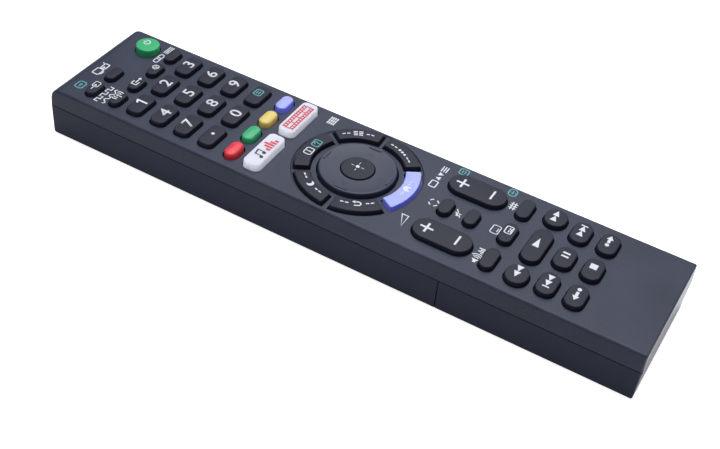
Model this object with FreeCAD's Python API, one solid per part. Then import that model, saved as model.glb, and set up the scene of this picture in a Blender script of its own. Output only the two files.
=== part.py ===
import FreeCAD, Part
import math
import os

from FreeCAD import Vector

# Television remote control lying on its back, in millimetres.
# X is its right side, Y points to the end that sends the signal, Z is up.
# The origin is at the middle of the resting face.

# Thickness of the case, worked out from what it holds, from the back upwards
BACK_WALL = 1.5
CELL_DIAMETER = 10.5
CELL_GAP = 0.25
DECK_WALL = 1.0
BOARD_SEAT = 0.1
BOARD_THICKNESS = 1.0
KEY_TRAVEL = 0.8
FLANGE_THICKNESS = 0.6
FLANGE_GAP = 0.15
TOP_WALL = 1.6
MAT_THICKNESS = 0.8

# Case, outside
SEAM_HEIGHT = 11.5
SEAM_GAP = 0.3
SIDE_WALL = 1.5
SIDE_DRAFT_TOP = 0.4
SIDE_DRAFT_BASE = 0.2
SIGNAL_DRAFT_BASE = 0.1
TAIL_DRAFT_TOP = 0.1
TAIL_DRAFT_BASE = 0.6
SHOULDER_ROUND = 3.8
EDGE_ROUND = 1.0
TAIL_EDGE_ROUND = 0.5
INSIDE_CORNER = 0.4
LIP_HEIGHT = 1.2
LIP_INSET = 0.85
LIP_GAP = 0.1
FLOOR_RIB_COUNT = 6
FLOOR_RIB_HEIGHT = 2.0
FLOOR_RIB_THICKNESS = 0.9

# Small keys at the signal end
SIGNAL_MARGIN = 10.45
SMALL_WIDTH = 7.3
SMALL_DEPTH = 4.1
SMALL_SPACE_X = 2.4
SMALL_SPACE_Y = 5.2
POWER_DIAMETER = 8.2
POWER_RISE = 2.4
POWER_X = 13.6
POWER_SHIFT = 0.3

# Number keys: three across and four down
SMALL_TO_NUMBERS = 2.8
NUMBER_WIDTH = 10.3
NUMBER_DEPTH = 5.7
NUMBER_CORNER = 2.0
NUMBER_SPACE_X = 2.45
NUMBER_SPACE_Y = 3.35

# Coloured keys and the two wide keys under the numbers
NUMBERS_TO_COLOURS = 3.8
COLOUR_WIDTH = 7.8
COLOUR_DEPTH = 5.0
COLOUR_SPACE_X = 1.8
COLOUR_FLANGE_X = 0.1
COLOUR_RISE = 2.1
COLOURS_TO_WIDE = 2.6
WIDE_WIDTH = 17.0
WIDE_DEPTH = 6.0
WIDE_CORNER = 1.9
WIDE_SPACE_X = 2.8
WIDE_RISE = 2.2

# Direction pad: a select key, a tilting ring and six arc keys in a round dish
WIDE_TO_ARCS = 4.7
ARC_OUTER = 19.7
ARC_INNER = 14.5
ARC_SPLIT_DEG = 6.0
ARC_LONG_DEG = 62.0
ARC_CORNER = 0.7
ARC_RISE = 1.5
ARC_LIP = 0.15
DISH_MARGIN = 0.5
DISH_SLOPE = 0.3
DISH_DEPTH = 0.35
RIM_MARGIN = 2.3
SELECT_DIAMETER = 10.1
SELECT_GAP = 0.45
SELECT_RISE = 1.3
PAD_DIAMETER = 24.3
PAD_GAP = 0.6
PAD_RIM_RISE = 1.3
PAD_BORE_RISE = 0.85
PAD_RIM_ROUND = 0.5
PAD_RIDGE_LENGTH = 4.3
PAD_RIDGE_WIDTH = 0.8
PAD_RIDGE_RISE = 0.15
PAD_RIDGE_MARGIN = 0.85
PAD_TILT_DEG = 2.5
WEB_WALL = 1.8
WEB_THICKNESS = 0.3
WEB_LIFT = 0.15
WEB_GAP = 0.4
WEB_HEADROOM = 0.5

# Two rockers, with small keys between and labelled keys below them
ARCS_TO_ROCKERS = 5.8
ROCKER_WIDTH = 9.0
ROCKER_LENGTH = 19.0
ROCKER_X = 12.0
ROCKER_TILT_DEG = 4.0
ROCKER_TAB_LENGTH = 5.0
ROCKER_RIB_LENGTH = 4.5
ROCKER_RIB_WIDTH = 1.0
MIDDLE_WIDTH = 7.4
MIDDLE_DEPTH = 4.3
MIDDLE_SPACE_Y = 4.2
MIDDLE_SHIFT = 0.5
ROCKERS_TO_LABELS = 3.7
LABEL_WIDTH = 9.3
LABEL_DEPTH = 4.6
LABEL_X = 12.7

# Playing keys at the tail
LABELS_TO_PLAY = 3.75
SEEK_WIDTH = 8.2
SEEK_DEPTH = 7.2
SEEK_X = 14.2
PLAY_WIDTH = 15.6
PLAY_DEPTH = 6.3
SKIP_WIDTH = 9.6
SKIP_DEPTH = 6.1
SKIP_CORNER = 2.8
SKIP_X = 12.6
SKIP_SPACE_Y = 2.55
TAIL_MARGIN = 21.55

# What all keys share
KEY_RISE = 1.6
KEY_DRAFT = 0.2
KEY_EDGE = 0.35
COLOUR_EDGE = 0.9
HOLE_GAP = 0.25
FLANGE_LIP = 0.35
MAT_GAP = 0.25
MAT_EDGE_GAP = 0.3
TILT_GAP = 0.1
TAB_THICKNESS = 0.5

# How far a cutting block runs past the face that it opens
PAST = 1.0

# Battery bay and its door
CELL_LENGTH = 44.5
CELL_SPACE = 0.6
CELL_NUB_DIAMETER = 3.8
CELL_NUB_LENGTH = 0.8
BAY_WALL = 1.0
BAY_SIDE_GAP = 0.3
SPRING_LENGTH = 5.0
SPRING_BASE_DIAMETER = 7.0
SPRING_TIP_DIAMETER = 4.0
PLATE_THICKNESS = 0.4
PLATE_SIZE = 8.0
DOOR_GAP = 0.3
DOOR_FRONT = 7.5
DOOR_END_GAP = 0.5
DOOR_SLIDE_GAP = 0.3
TONGUE_LENGTH = 2.5
TONGUE_THICKNESS = 0.6
TONGUE_GAP = 0.15
RAIL_THICKNESS = 0.8
RAIL_GAP = 0.2
RAIL_OVERLAP = 0.6
RAIL_WEB = 0.9
FOOT_SIDE_GAP = 0.3
GRIP_COUNT = 6
GRIP_LENGTH = 16.0
GRIP_WIDTH = 1.0
GRIP_PITCH = 2.2
GRIP_DEPTH = 0.35
GRIP_FROM_SPLIT = 8.0

# Circuit board, what is soldered to it, and its posts
BOARD_EDGE_GAP = 0.3
BOARD_CORNER = 1.5
POST_DIAMETER = 3.4
POST_PIN_DIAMETER = 1.6
POST_PIN_GAP = 0.1
POST_X = 16.0
POST_FROM_END = 16.0
CHIP_LENGTH = 12.0
CHIP_WIDTH = 7.5
CHIP_HEIGHT = 2.0
CRYSTAL_LENGTH = 7.0
CRYSTAL_WIDTH = 3.4
CRYSTAL_HEIGHT = 2.6
CAPACITOR_DIAMETER = 5.0
CAPACITOR_HEIGHT = 7.0
PARTS_SPACE = 4.0
LAMP_DIAMETER = 5.0
LAMP_FLANGE_DIAMETER = 5.8
LAMP_FLANGE_THICKNESS = 1.0
LAMP_LENGTH = 8.6
LAMP_RECESS = 0.3
LAMP_GAP = 0.15
LAMP_LEG = 0.6
LAMP_LEG_PITCH = 2.54
LAMP_LEG_REACH = 3.0
NOTCH_MARGIN = 1.2

# Heights that follow from the stack
CELL_AXIS_Z = BACK_WALL + CELL_GAP + CELL_DIAMETER / 2
DECK_LOW = BACK_WALL + CELL_DIAMETER + 2 * CELL_GAP
DECK_TOP = DECK_LOW + DECK_WALL
BOARD_LOW = DECK_TOP + BOARD_SEAT
BOARD_TOP = BOARD_LOW + BOARD_THICKNESS
PRESSED_LOW = BOARD_TOP + FLANGE_GAP
FLANGE_LOW = PRESSED_LOW + KEY_TRAVEL
FLANGE_TOP = FLANGE_LOW + FLANGE_THICKNESS
TOP_INSIDE = FLANGE_TOP + FLANGE_GAP
TOP_Z = TOP_INSIDE + TOP_WALL
DISH_Z = TOP_Z - DISH_DEPTH

# Rows of keys: the space before each row and its own depth, from the signal end
ROWS = (
    ("first", SIGNAL_MARGIN, SMALL_DEPTH),
    ("second", SMALL_SPACE_Y, SMALL_DEPTH),
    ("number_1", SMALL_TO_NUMBERS, NUMBER_DEPTH),
    ("number_2", NUMBER_SPACE_Y, NUMBER_DEPTH),
    ("number_3", NUMBER_SPACE_Y, NUMBER_DEPTH),
    ("number_4", NUMBER_SPACE_Y, NUMBER_DEPTH),
    ("colour", NUMBERS_TO_COLOURS, COLOUR_DEPTH),
    ("wide", COLOURS_TO_WIDE, WIDE_DEPTH),
    ("ring", WIDE_TO_ARCS, 2 * ARC_OUTER),
    ("rocker", ARCS_TO_ROCKERS, ROCKER_LENGTH),
    ("label", ROCKERS_TO_LABELS, LABEL_DEPTH),
    ("play", LABELS_TO_PLAY, PLAY_DEPTH),
    ("skip_1", SKIP_SPACE_Y, SKIP_DEPTH),
    ("skip_2", SKIP_SPACE_Y, SKIP_DEPTH),
)
CASE_LENGTH = sum(space + depth for name, space, depth in ROWS) + TAIL_MARGIN
CASE_WIDTH = 2 * (ARC_OUTER + RIM_MARGIN)
SIGNAL_Y = CASE_LENGTH / 2
TAIL_Y = -CASE_LENGTH / 2


def row_centres():
    """Y of the middle of each row, by name."""
    centres = {}
    edge = SIGNAL_Y
    for name, space, depth in ROWS:
        centres[name] = edge - space - depth / 2
        edge -= space + depth
    return centres


ROW_Y = row_centres()
FLANGE_GROW = HOLE_GAP + FLANGE_LIP
MAT_GROW = FLANGE_GROW + MAT_GAP

# Direction pad: its base clears the board when it tilts both ways at once
PAD_BOTH_TILTS = math.radians(PAD_TILT_DEG * math.sqrt(2))
PAD_BASE_Z = BOARD_TOP + TILT_GAP + PAD_DIAMETER / 2 * math.sin(PAD_BOTH_TILTS)
BORE_RADIUS = SELECT_DIAMETER / 2 + SELECT_GAP
SELECT_FLANGE_RADIUS = BORE_RADIUS + FLANGE_LIP
WEB_INNER = SELECT_FLANGE_RADIUS + WEB_GAP
WEB_OUTER = WEB_INNER + WEB_WALL
WEB_Z = PAD_BASE_Z + WEB_LIFT
POCKET_RADIUS = WEB_OUTER + WEB_GAP
POCKET_Z = WEB_Z + WEB_THICKNESS + WEB_HEADROOM

# Rockers: their base clears the board at full tilt
ROCKER_TILT = math.radians(ROCKER_TILT_DEG)
ROCKER_BASE_Z = BOARD_TOP + TILT_GAP + ROCKER_LENGTH / 2 * math.sin(ROCKER_TILT)
ROCKER_AXIS_Z = PRESSED_LOW + ROCKER_RIB_WIDTH / 2

# Places along the battery bay
BAY_LENGTH = SPRING_LENGTH + CELL_LENGTH + PLATE_THICKNESS
BAY_LOW = TAIL_Y + TAIL_DRAFT_BASE + SIDE_WALL + DOOR_END_GAP + BAY_WALL
BAY_HIGH = BAY_LOW + BAY_LENGTH
SPLIT_Y = BAY_HIGH + BAY_WALL + DOOR_FRONT
CELL_X = (CELL_DIAMETER + CELL_SPACE) / 2
BAY_HALF = CELL_X + CELL_DIAMETER / 2 + BAY_SIDE_GAP
BULKHEAD_Y = SPLIT_Y + TONGUE_LENGTH + BAY_WALL
REBATE_LOW = SEAM_HEIGHT - LIP_HEIGHT - LIP_GAP
RAIL_TOP = SEAM_HEIGHT - LIP_HEIGHT - RAIL_GAP
FOOT_TOP = RAIL_TOP - RAIL_THICKNESS - RAIL_GAP
FOOT_OUT = CASE_WIDTH / 2 - SIDE_WALL - SIDE_DRAFT_BASE - FOOT_SIDE_GAP
RAIL_IN = FOOT_OUT - RAIL_OVERLAP
WEB_OUT = RAIL_IN - RAIL_GAP


def box(x_low, x_high, y_low, y_high, z_low, z_high):
    """A block between two corners."""
    size = (x_high - x_low, y_high - y_low, z_high - z_low)
    return Part.makeBox(*size, Vector(x_low, y_low, z_low))


def rounded_wire(x_low, x_high, y_low, y_high, z, radius):
    """A rectangle with rounded corners, or with sharp ones where the radius is nothing."""
    corners = ((x_high, y_high), (x_low, y_high), (x_low, y_low), (x_high, y_low))
    if radius == 0:
        points = [Vector(x, y, z) for x, y in corners]
        return Part.makePolygon(points + points[:1])
    arcs = []
    for quarter, (x, y) in enumerate(corners):
        start = 90 * quarter
        middle = math.radians(start + 45)
        cx = x - math.copysign(radius, math.cos(middle))
        cy = y - math.copysign(radius, math.sin(middle))
        points = []
        for step in (0, 45, 90):
            turn = math.radians(start + step)
            points.append(Vector(cx + radius * math.cos(turn), cy + radius * math.sin(turn), z))
        arcs.append(points)
    edges = []
    for index, points in enumerate(arcs):
        edges.append(Part.Arc(*points).toShape())
        following = arcs[(index + 1) % len(arcs)][0]
        if points[2].distanceToPoint(following) > 1e-6:
            edges.append(Part.LineSegment(points[2], following).toShape())
    return Part.Wire(edges)


def prism(wire, height):
    """A wire's face carried straight up."""
    return Part.Face(wire).extrude(Vector(0, 0, height))


def loft(wires):
    """Flat-sided and conical walls through wires of like shape."""
    return Part.makeLoft(wires, True, True)


def turned(points, x, y):
    """A solid of revolution from a closed outline of radius and height pairs."""
    corners = [Vector(x + radius, y, z) for radius, z in points]
    profile = Part.makePolygon(corners + corners[:1])
    return Part.Face(profile).revolve(Vector(x, y, 0), Vector(0, 0, 1), 360)


class PadKey:
    """A key with straight sides and rounded corners, by its centre and size."""

    edge = KEY_EDGE
    flange_x = FLANGE_GROW

    def __init__(self, name, x, y, width, depth, corner, rise=KEY_RISE):
        self.name = name
        self.x = x
        self.y = y
        self.half_x = width / 2
        self.half_y = depth / 2
        self.corner = min(corner, depth / 2, width / 2)
        self.top = TOP_Z + rise

    def wire(self, z, grow):
        """The key's outline at a height, set out all round by grow."""
        half_x = self.half_x + grow
        half_y = self.half_y + grow
        corner = self.corner + grow
        return rounded_wire(
            self.x - half_x, self.x + half_x, self.y - half_y, self.y + half_y, z, corner
        )

    def block(self, gap, z_low, z_high):
        """A square-cornered plate: the flange, set out all round by a gap."""
        half_x = self.half_x + self.flange_x + gap
        half_y = self.half_y + FLANGE_GROW + gap
        return box(
            self.x - half_x, self.x + half_x, self.y - half_y, self.y + half_y, z_low, z_high
        )

    def cap(self, z_low):
        """The drafted cap with its broken top edge."""
        shoulder = self.top - self.edge
        return loft([
            self.wire(z_low, 0),
            self.wire(shoulder, -KEY_DRAFT),
            self.wire(self.top, -KEY_DRAFT - self.edge),
        ])

    def solid(self):
        """The key: a cap through the case and a flange under it."""
        return self.cap(FLANGE_TOP).fuse(self.block(0, FLANGE_LOW, FLANGE_TOP))

    def case_hole(self):
        return prism(self.wire(TOP_INSIDE - PAST, HOLE_GAP), TOP_WALL + 2 * PAST)

    def mat_hole(self):
        return self.block(MAT_GAP, BOARD_TOP - PAST, BOARD_TOP + MAT_THICKNESS + PAST)


class DomeKey(PadKey):
    """A coloured key: a well rounded top, and no lip at the ends, where its neighbours are near."""

    edge = COLOUR_EDGE
    flange_x = COLOUR_FLANGE_X

    def cap(self, z_low):
        body = loft([self.wire(z_low, 0), self.wire(self.top, -KEY_DRAFT)])
        rim = [edge for edge in body.Edges if edge.BoundBox.ZMin > self.top - 1e-4]
        return body.makeFillet(self.edge, rim)


class RoundKey:
    """The power key: a turned cap on a round flange."""

    def __init__(self, name, x, y, diameter, rise):
        self.name = name
        self.x = x
        self.y = y
        self.radius = diameter / 2
        self.top = TOP_Z + rise

    def solid(self):
        flange = self.radius + FLANGE_GROW
        crown = self.radius - KEY_DRAFT - 2 * KEY_EDGE
        return turned(
            (
                (0, FLANGE_LOW),
                (flange, FLANGE_LOW),
                (flange, FLANGE_TOP),
                (self.radius, FLANGE_TOP),
                (self.radius - KEY_DRAFT, self.top - 2 * KEY_EDGE),
                (self.radius - KEY_DRAFT - KEY_EDGE / 2, self.top - KEY_EDGE / 2),
                (crown, self.top),
                (0, self.top),
            ),
            self.x,
            self.y,
        )

    def drum(self, grow, z_low, z_high):
        return Part.makeCylinder(self.radius + grow, z_high - z_low, Vector(self.x, self.y, z_low))

    def case_hole(self):
        return self.drum(HOLE_GAP, TOP_INSIDE - PAST, TOP_Z + PAST)

    def mat_hole(self):
        return self.drum(MAT_GROW, BOARD_TOP - PAST, BOARD_TOP + MAT_THICKNESS + PAST)


class ArcKey:
    """A key of the ring: a stretch of a flat band round the direction pad."""

    def __init__(self, name, middle_deg, span_deg):
        self.name = name
        self.middle = middle_deg
        self.half_span = span_deg / 2
        self.top = TOP_Z + ARC_RISE

    def point(self, radius, angle_deg, z):
        turn = math.radians(angle_deg)
        return Vector(radius * math.cos(turn), ROW_Y["ring"] + radius * math.sin(turn), z)

    def wire(self, z, inward, outward, endways):
        """The band's outline: two arcs, and two ends that stand out by endways."""
        inner = ARC_INNER - inward
        outer = ARC_OUTER + outward
        inner_half = self.half_span + math.degrees(endways / inner)
        outer_half = self.half_span + math.degrees(endways / outer)
        a = self.point(outer, self.middle - outer_half, z)
        b = self.point(outer, self.middle, z)
        c = self.point(outer, self.middle + outer_half, z)
        d = self.point(inner, self.middle + inner_half, z)
        e = self.point(inner, self.middle, z)
        f = self.point(inner, self.middle - inner_half, z)
        return Part.Wire([
            Part.Arc(a, b, c).toShape(),
            Part.LineSegment(c, d).toShape(),
            Part.Arc(d, e, f).toShape(),
            Part.LineSegment(f, a).toShape(),
        ])

    def band(self, inward, outward, endways, z_low, z_high):
        return prism(self.wire(z_low, inward, outward, endways), z_high - z_low)

    def solid(self):
        shoulder = self.top - KEY_EDGE
        cap = loft([
            self.wire(FLANGE_TOP, 0, 0, 0),
            self.wire(shoulder, -KEY_DRAFT, -KEY_DRAFT, -KEY_DRAFT),
        ])
        ends = [edge for edge in cap.Edges if edge.BoundBox.ZLength > TOP_WALL]
        cap = cap.makeFillet(ARC_CORNER, ends)
        rim = [edge for edge in cap.Edges if edge.BoundBox.ZMin > shoulder - 1e-4]
        cap = cap.makeChamfer(KEY_EDGE, rim)
        outward = HOLE_GAP + ARC_LIP
        return cap.fuse(self.band(FLANGE_GROW, outward, 0, FLANGE_LOW, FLANGE_TOP))

    def case_hole(self):
        return self.band(HOLE_GAP, HOLE_GAP, HOLE_GAP, TOP_INSIDE - PAST, TOP_Z + PAST)

    def mat_hole(self):
        low = BOARD_TOP - PAST
        high = BOARD_TOP + MAT_THICKNESS + PAST
        return self.band(MAT_GROW, MAT_GROW, MAT_GAP, low, high)


class RockerKey(PadKey):
    """A long key that rocks on a rounded rib under its middle, held by a tab on each side."""

    def solid(self):
        tab = self.half_x + FLANGE_GROW
        body = self.cap(ROCKER_BASE_Z)
        tabs = box(
            self.x - tab, self.x + tab,
            self.y - ROCKER_TAB_LENGTH / 2, self.y + ROCKER_TAB_LENGTH / 2,
            ROCKER_BASE_Z, ROCKER_BASE_Z + TAB_THICKNESS,
        )
        rib = box(
            self.x - ROCKER_RIB_LENGTH / 2, self.x + ROCKER_RIB_LENGTH / 2,
            self.y - ROCKER_RIB_WIDTH / 2, self.y + ROCKER_RIB_WIDTH / 2,
            ROCKER_AXIS_Z, ROCKER_BASE_Z + TAB_THICKNESS,
        )
        tip = Part.makeCylinder(
            ROCKER_RIB_WIDTH / 2, ROCKER_RIB_LENGTH,
            Vector(self.x - ROCKER_RIB_LENGTH / 2, self.y, ROCKER_AXIS_Z), Vector(1, 0, 0),
        )
        return body.fuse([tabs, rib, tip]).removeSplitter()


def small_keys():
    """Six oval keys and the round power key at the signal end."""
    pitch = SMALL_WIDTH + SMALL_SPACE_X
    round_end = SMALL_DEPTH / 2
    first = ROW_Y["first"]
    second = ROW_Y["second"]
    places = (
        ("key_source", -1.5 * pitch, first),
        ("key_broadcast", -0.5 * pitch, first),
        ("key_antenna", -1.5 * pitch, second),
        ("key_exit", -0.5 * pitch, second),
        ("key_depth", 0.5 * pitch, second),
        ("key_link", 1.5 * pitch, second),
    )
    keys = [PadKey(name, x, y, SMALL_WIDTH, SMALL_DEPTH, round_end) for name, x, y in places]
    power_y = first + POWER_SHIFT
    keys.append(RoundKey("key_power", POWER_X, power_y, POWER_DIAMETER, POWER_RISE))
    return keys


def number_keys():
    """Three columns and four rows, the last row with the dot, zero and page keys."""
    pitch = NUMBER_WIDTH + NUMBER_SPACE_X
    names = (
        ("1", "2", "3"),
        ("4", "5", "6"),
        ("7", "8", "9"),
        ("dot", "0", "page"),
    )
    keys = []
    for row, line in enumerate(names):
        for column, name in enumerate(line):
            x = (column - 1) * pitch
            y = ROW_Y["number_%d" % (row + 1)]
            keys.append(PadKey("key_" + name, x, y, NUMBER_WIDTH, NUMBER_DEPTH, NUMBER_CORNER))
    return keys


def colour_keys():
    """Four domed keys in a row."""
    pitch = COLOUR_WIDTH + COLOUR_SPACE_X
    keys = []
    for index, name in enumerate(("red", "green", "yellow", "blue")):
        x = (index - 1.5) * pitch
        keys.append(DomeKey(
            "key_" + name, x, ROW_Y["colour"], COLOUR_WIDTH, COLOUR_DEPTH, COLOUR_DEPTH / 2,
            COLOUR_RISE,
        ))
    return keys


def wide_keys():
    """Two white keys side by side."""
    x = (WIDE_WIDTH + WIDE_SPACE_X) / 2
    y = ROW_Y["wide"]
    return [
        PadKey("key_music", -x, y, WIDE_WIDTH, WIDE_DEPTH, WIDE_CORNER, WIDE_RISE),
        PadKey("key_film", x, y, WIDE_WIDTH, WIDE_DEPTH, WIDE_CORNER, WIDE_RISE),
    ]


def arc_keys():
    """Six arc keys: long ones above and below, short ones at the four shoulders."""
    short = (360 - 2 * ARC_LONG_DEG - 6 * ARC_SPLIT_DEG) / 4
    step = (short + ARC_SPLIT_DEG) / 2
    return [
        ArcKey("key_info", 90, ARC_LONG_DEG),
        ArcKey("key_home", -90, ARC_LONG_DEG),
        ArcKey("key_guide", step, short),
        ArcKey("key_options", -step, short),
        ArcKey("key_sleep", 180 - step, short),
        ArcKey("key_return", 180 + step, short),
    ]


def middle_keys():
    """Two small keys between the rockers."""
    offset = (MIDDLE_DEPTH + MIDDLE_SPACE_Y) / 2
    corner = MIDDLE_DEPTH / 2
    y = ROW_Y["rocker"] + MIDDLE_SHIFT
    return [
        PadKey("key_jump", 0, y + offset, MIDDLE_WIDTH, MIDDLE_DEPTH, corner),
        PadKey("key_mute", 0, y - offset, MIDDLE_WIDTH, MIDDLE_DEPTH, corner),
    ]


def rocker_keys():
    """Volume on the left and channel on the right."""
    keys = []
    for name, x in (("rocker_volume", -ROCKER_X), ("rocker_channel", ROCKER_X)):
        corner = ROCKER_WIDTH / 2
        keys.append(RockerKey(name, x, ROW_Y["rocker"], ROCKER_WIDTH, ROCKER_LENGTH, corner))
    return keys


def label_keys():
    """Three keys in a row under the rockers."""
    y = ROW_Y["label"]
    corner = LABEL_DEPTH / 2
    keys = []
    for name, x in (("audio", -LABEL_X), ("subtitle", 0), ("shape", LABEL_X)):
        keys.append(PadKey("key_" + name, x, y, LABEL_WIDTH, LABEL_DEPTH, corner))
    return keys


def playing_keys():
    """The three rows that play, seek, skip and step."""
    play = ROW_Y["play"]
    one = ROW_Y["skip_1"]
    two = ROW_Y["skip_2"]
    seek = (SEEK_WIDTH, SEEK_DEPTH, SEEK_DEPTH / 2)
    skip = (SKIP_WIDTH, SKIP_DEPTH, SKIP_CORNER)
    return [
        PadKey("key_rewind", -SEEK_X, play, *seek),
        PadKey("key_play", 0, play, PLAY_WIDTH, PLAY_DEPTH, PLAY_DEPTH / 2),
        PadKey("key_forward", SEEK_X, play, *seek),
        PadKey("key_previous", -SKIP_X, one, *skip),
        PadKey("key_pause", 0, one, *skip),
        PadKey("key_next", SKIP_X, one, *skip),
        PadKey("key_step_back", -SKIP_X, two, *skip),
        PadKey("key_stop", 0, two, *skip),
        PadKey("key_step_forward", SKIP_X, two, *skip),
    ]


def select_key():
    """The select key in the bore of the direction ring."""
    radius = SELECT_DIAMETER / 2
    top = TOP_Z + SELECT_RISE
    return turned(
        (
            (0, PAD_BASE_Z),
            (SELECT_FLANGE_RADIUS, PAD_BASE_Z),
            (SELECT_FLANGE_RADIUS, PAD_BASE_Z + TAB_THICKNESS),
            (radius, PAD_BASE_Z + TAB_THICKNESS),
            (radius, top - KEY_EDGE),
            (radius - KEY_EDGE, top),
            (0, top),
        ),
        0,
        ROW_Y["ring"],
    )


def direction_ring():
    """The ring that tilts four ways: dished, with a rounded rim, four ridges and a pocket."""
    rim = PAD_DIAMETER / 2
    rim_top = TOP_Z + PAD_RIM_RISE
    bend = PAD_RIM_ROUND * (1 - math.sqrt(0.5))
    body = turned(
        (
            (BORE_RADIUS, POCKET_Z),
            (POCKET_RADIUS, POCKET_Z),
            (POCKET_RADIUS, PAD_BASE_Z),
            (rim, PAD_BASE_Z),
            (rim, rim_top - PAD_RIM_ROUND),
            (rim - bend, rim_top - bend),
            (rim - PAD_RIM_ROUND, rim_top),
            (rim - 2 * PAD_RIM_ROUND, rim_top),
            (BORE_RADIUS, TOP_Z + PAD_BORE_RISE),
        ),
        0,
        ROW_Y["ring"],
    )
    middle = Vector(0, ROW_Y["ring"], 0)
    outer = ROW_Y["ring"] + rim - PAD_RIDGE_MARGIN
    ridges = []
    for quarter in range(4):
        ridge = box(
            -PAD_RIDGE_LENGTH / 2, PAD_RIDGE_LENGTH / 2, outer - PAD_RIDGE_WIDTH, outer,
            rim_top - PAD_RIM_ROUND, rim_top + PAD_RIDGE_RISE,
        )
        ridges.append(ridge.rotate(middle, Vector(0, 0, 1), 90 * quarter))
    return body.fuse(ridges)


def direction_web():
    """The thin ring that carries the direction ring and tilts the other way."""
    place = Vector(0, ROW_Y["ring"], WEB_Z)
    outer = Part.makeCylinder(WEB_OUTER, WEB_THICKNESS, place)
    return outer.cut(Part.makeCylinder(WEB_INNER, WEB_THICKNESS, place))


def case_wire(z, shrink, corner):
    """The case's outline at a height, set in by shrink; it leans in both ways from the seam."""
    if z > SEAM_HEIGHT:
        share = (z - SEAM_HEIGHT) / (TOP_Z - SEAM_HEIGHT)
        side, signal, tail = SIDE_DRAFT_TOP, 0, TAIL_DRAFT_TOP
    else:
        share = 1 - z / SEAM_HEIGHT
        side, signal, tail = SIDE_DRAFT_BASE, SIGNAL_DRAFT_BASE, TAIL_DRAFT_BASE
    half = CASE_WIDTH / 2 - side * share - shrink
    low = TAIL_Y + tail * share + shrink
    high = SIGNAL_Y - signal * share - shrink
    return rounded_wire(-half, half, low, high, z, corner)


def case_block(z_low, z_high, shrink=0, corner=0):
    """The block inside the case's outline between two heights on one side of the seam."""
    return loft([case_wire(z_low, shrink, corner), case_wire(z_high, shrink, corner)])


def inset_block(z_low, z_high, shrink, corner=INSIDE_CORNER):
    """An upright block that follows the case's outline at the seam, set in by shrink."""
    block = prism(case_wire(SEAM_HEIGHT, shrink, corner), z_high - z_low)
    return block.translate(Vector(0, 0, z_low - SEAM_HEIGHT))


def soften(body, seam_z):
    """Round a shell's long edges and signal end, and then, by less, the edges of its square tail."""
    tail_limit = TAIL_Y + TAIL_DRAFT_BASE + EDGE_ROUND / 2
    for radius, at_tail in ((EDGE_ROUND, False), (TAIL_EDGE_ROUND, True)):
        edges = []
        for edge in body.Edges:
            span = edge.BoundBox
            on_seam = span.ZLength < 1e-4 and abs(span.ZMin - seam_z) < 1e-4
            on_tail = span.YMax < tail_limit
            across_top = span.XLength > CASE_WIDTH / 2 and span.ZMin > 1e-4
            if on_tail == at_tail and not on_seam and (at_tail or not across_top):
                edges.append(edge)
        body = body.makeFillet(radius, edges)
    return body


def top_case(keys):
    """The upper shell with its dish, its lip and a hole for every key."""
    low = SEAM_HEIGHT + SEAM_GAP / 2
    lip_low = SEAM_HEIGHT - LIP_HEIGHT
    body = soften(case_block(low, TOP_Z).cut(signal_shoulder(0)), low)
    body = body.fuse(inset_block(lip_low, low + SEAM_GAP, LIP_INSET))
    inside = case_block(SEAM_HEIGHT, TOP_INSIDE, SIDE_WALL, INSIDE_CORNER)
    inside = inside.cut(signal_shoulder(SIDE_WALL))
    body = body.cut([inside, inset_block(lip_low - PAST, SEAM_HEIGHT, SIDE_WALL)])
    ring_y = ROW_Y["ring"]
    reach = ARC_OUTER + DISH_MARGIN
    steepness = DISH_SLOPE / DISH_DEPTH
    dish = Part.makeCone(
        reach, reach + DISH_SLOPE + PAST * steepness, DISH_DEPTH + PAST, Vector(0, ring_y, DISH_Z)
    )
    cuts = [key.case_hole() for key in keys]
    cuts.append(Part.makeCylinder(
        PAD_DIAMETER / 2 + PAD_GAP, TOP_WALL + 2 * PAST, Vector(0, ring_y, TOP_INSIDE - PAST)
    ))
    return body.cut([dish] + cuts).cut(lamp_hole())


def signal_shoulder(shrink):
    """What the round shoulder takes off the signal end's top, or off a cavity set in by shrink."""
    middle_y = SIGNAL_Y - SHOULDER_ROUND
    middle_z = TOP_Z - SHOULDER_ROUND
    radius = SHOULDER_ROUND - shrink
    reach = radius * math.sqrt(0.5)
    a = Vector(-CASE_WIDTH, middle_y, middle_z + radius)
    b = Vector(-CASE_WIDTH, middle_y + radius, middle_z)
    half_way = Vector(-CASE_WIDTH, middle_y + reach, middle_z + reach)
    corners = [
        b,
        Vector(-CASE_WIDTH, SIGNAL_Y + PAST, middle_z),
        Vector(-CASE_WIDTH, SIGNAL_Y + PAST, TOP_Z + PAST),
        Vector(-CASE_WIDTH, middle_y, TOP_Z + PAST),
        a,
    ]
    edges = [Part.Arc(a, half_way, b).toShape()]
    for start, end in zip(corners, corners[1:]):
        edges.append(Part.LineSegment(start, end).toShape())
    return Part.Face(Part.Wire(edges)).extrude(Vector(2 * CASE_WIDTH, 0, 0))


def lamp_hole():
    """The bore in the signal end for the lamp, half in each shell."""
    y = SIGNAL_Y - SIDE_WALL - SIGNAL_DRAFT_BASE - PAST
    radius = LAMP_DIAMETER / 2 + LAMP_GAP
    length = SIDE_WALL + SIGNAL_DRAFT_BASE + 2 * PAST
    return Part.makeCylinder(radius, length, Vector(0, y, SEAM_HEIGHT), Vector(0, 1, 0))


def lower_shell():
    """The whole back with rounded lower edges, before it is split from its door."""
    high = SEAM_HEIGHT - SEAM_GAP / 2
    body = soften(case_block(0, high), high)
    body = body.cut(case_block(BACK_WALL, SEAM_HEIGHT, SIDE_WALL, INSIDE_CORNER))
    return body.cut(inset_block(REBATE_LOW, SEAM_HEIGHT, LIP_INSET - LIP_GAP))


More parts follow.
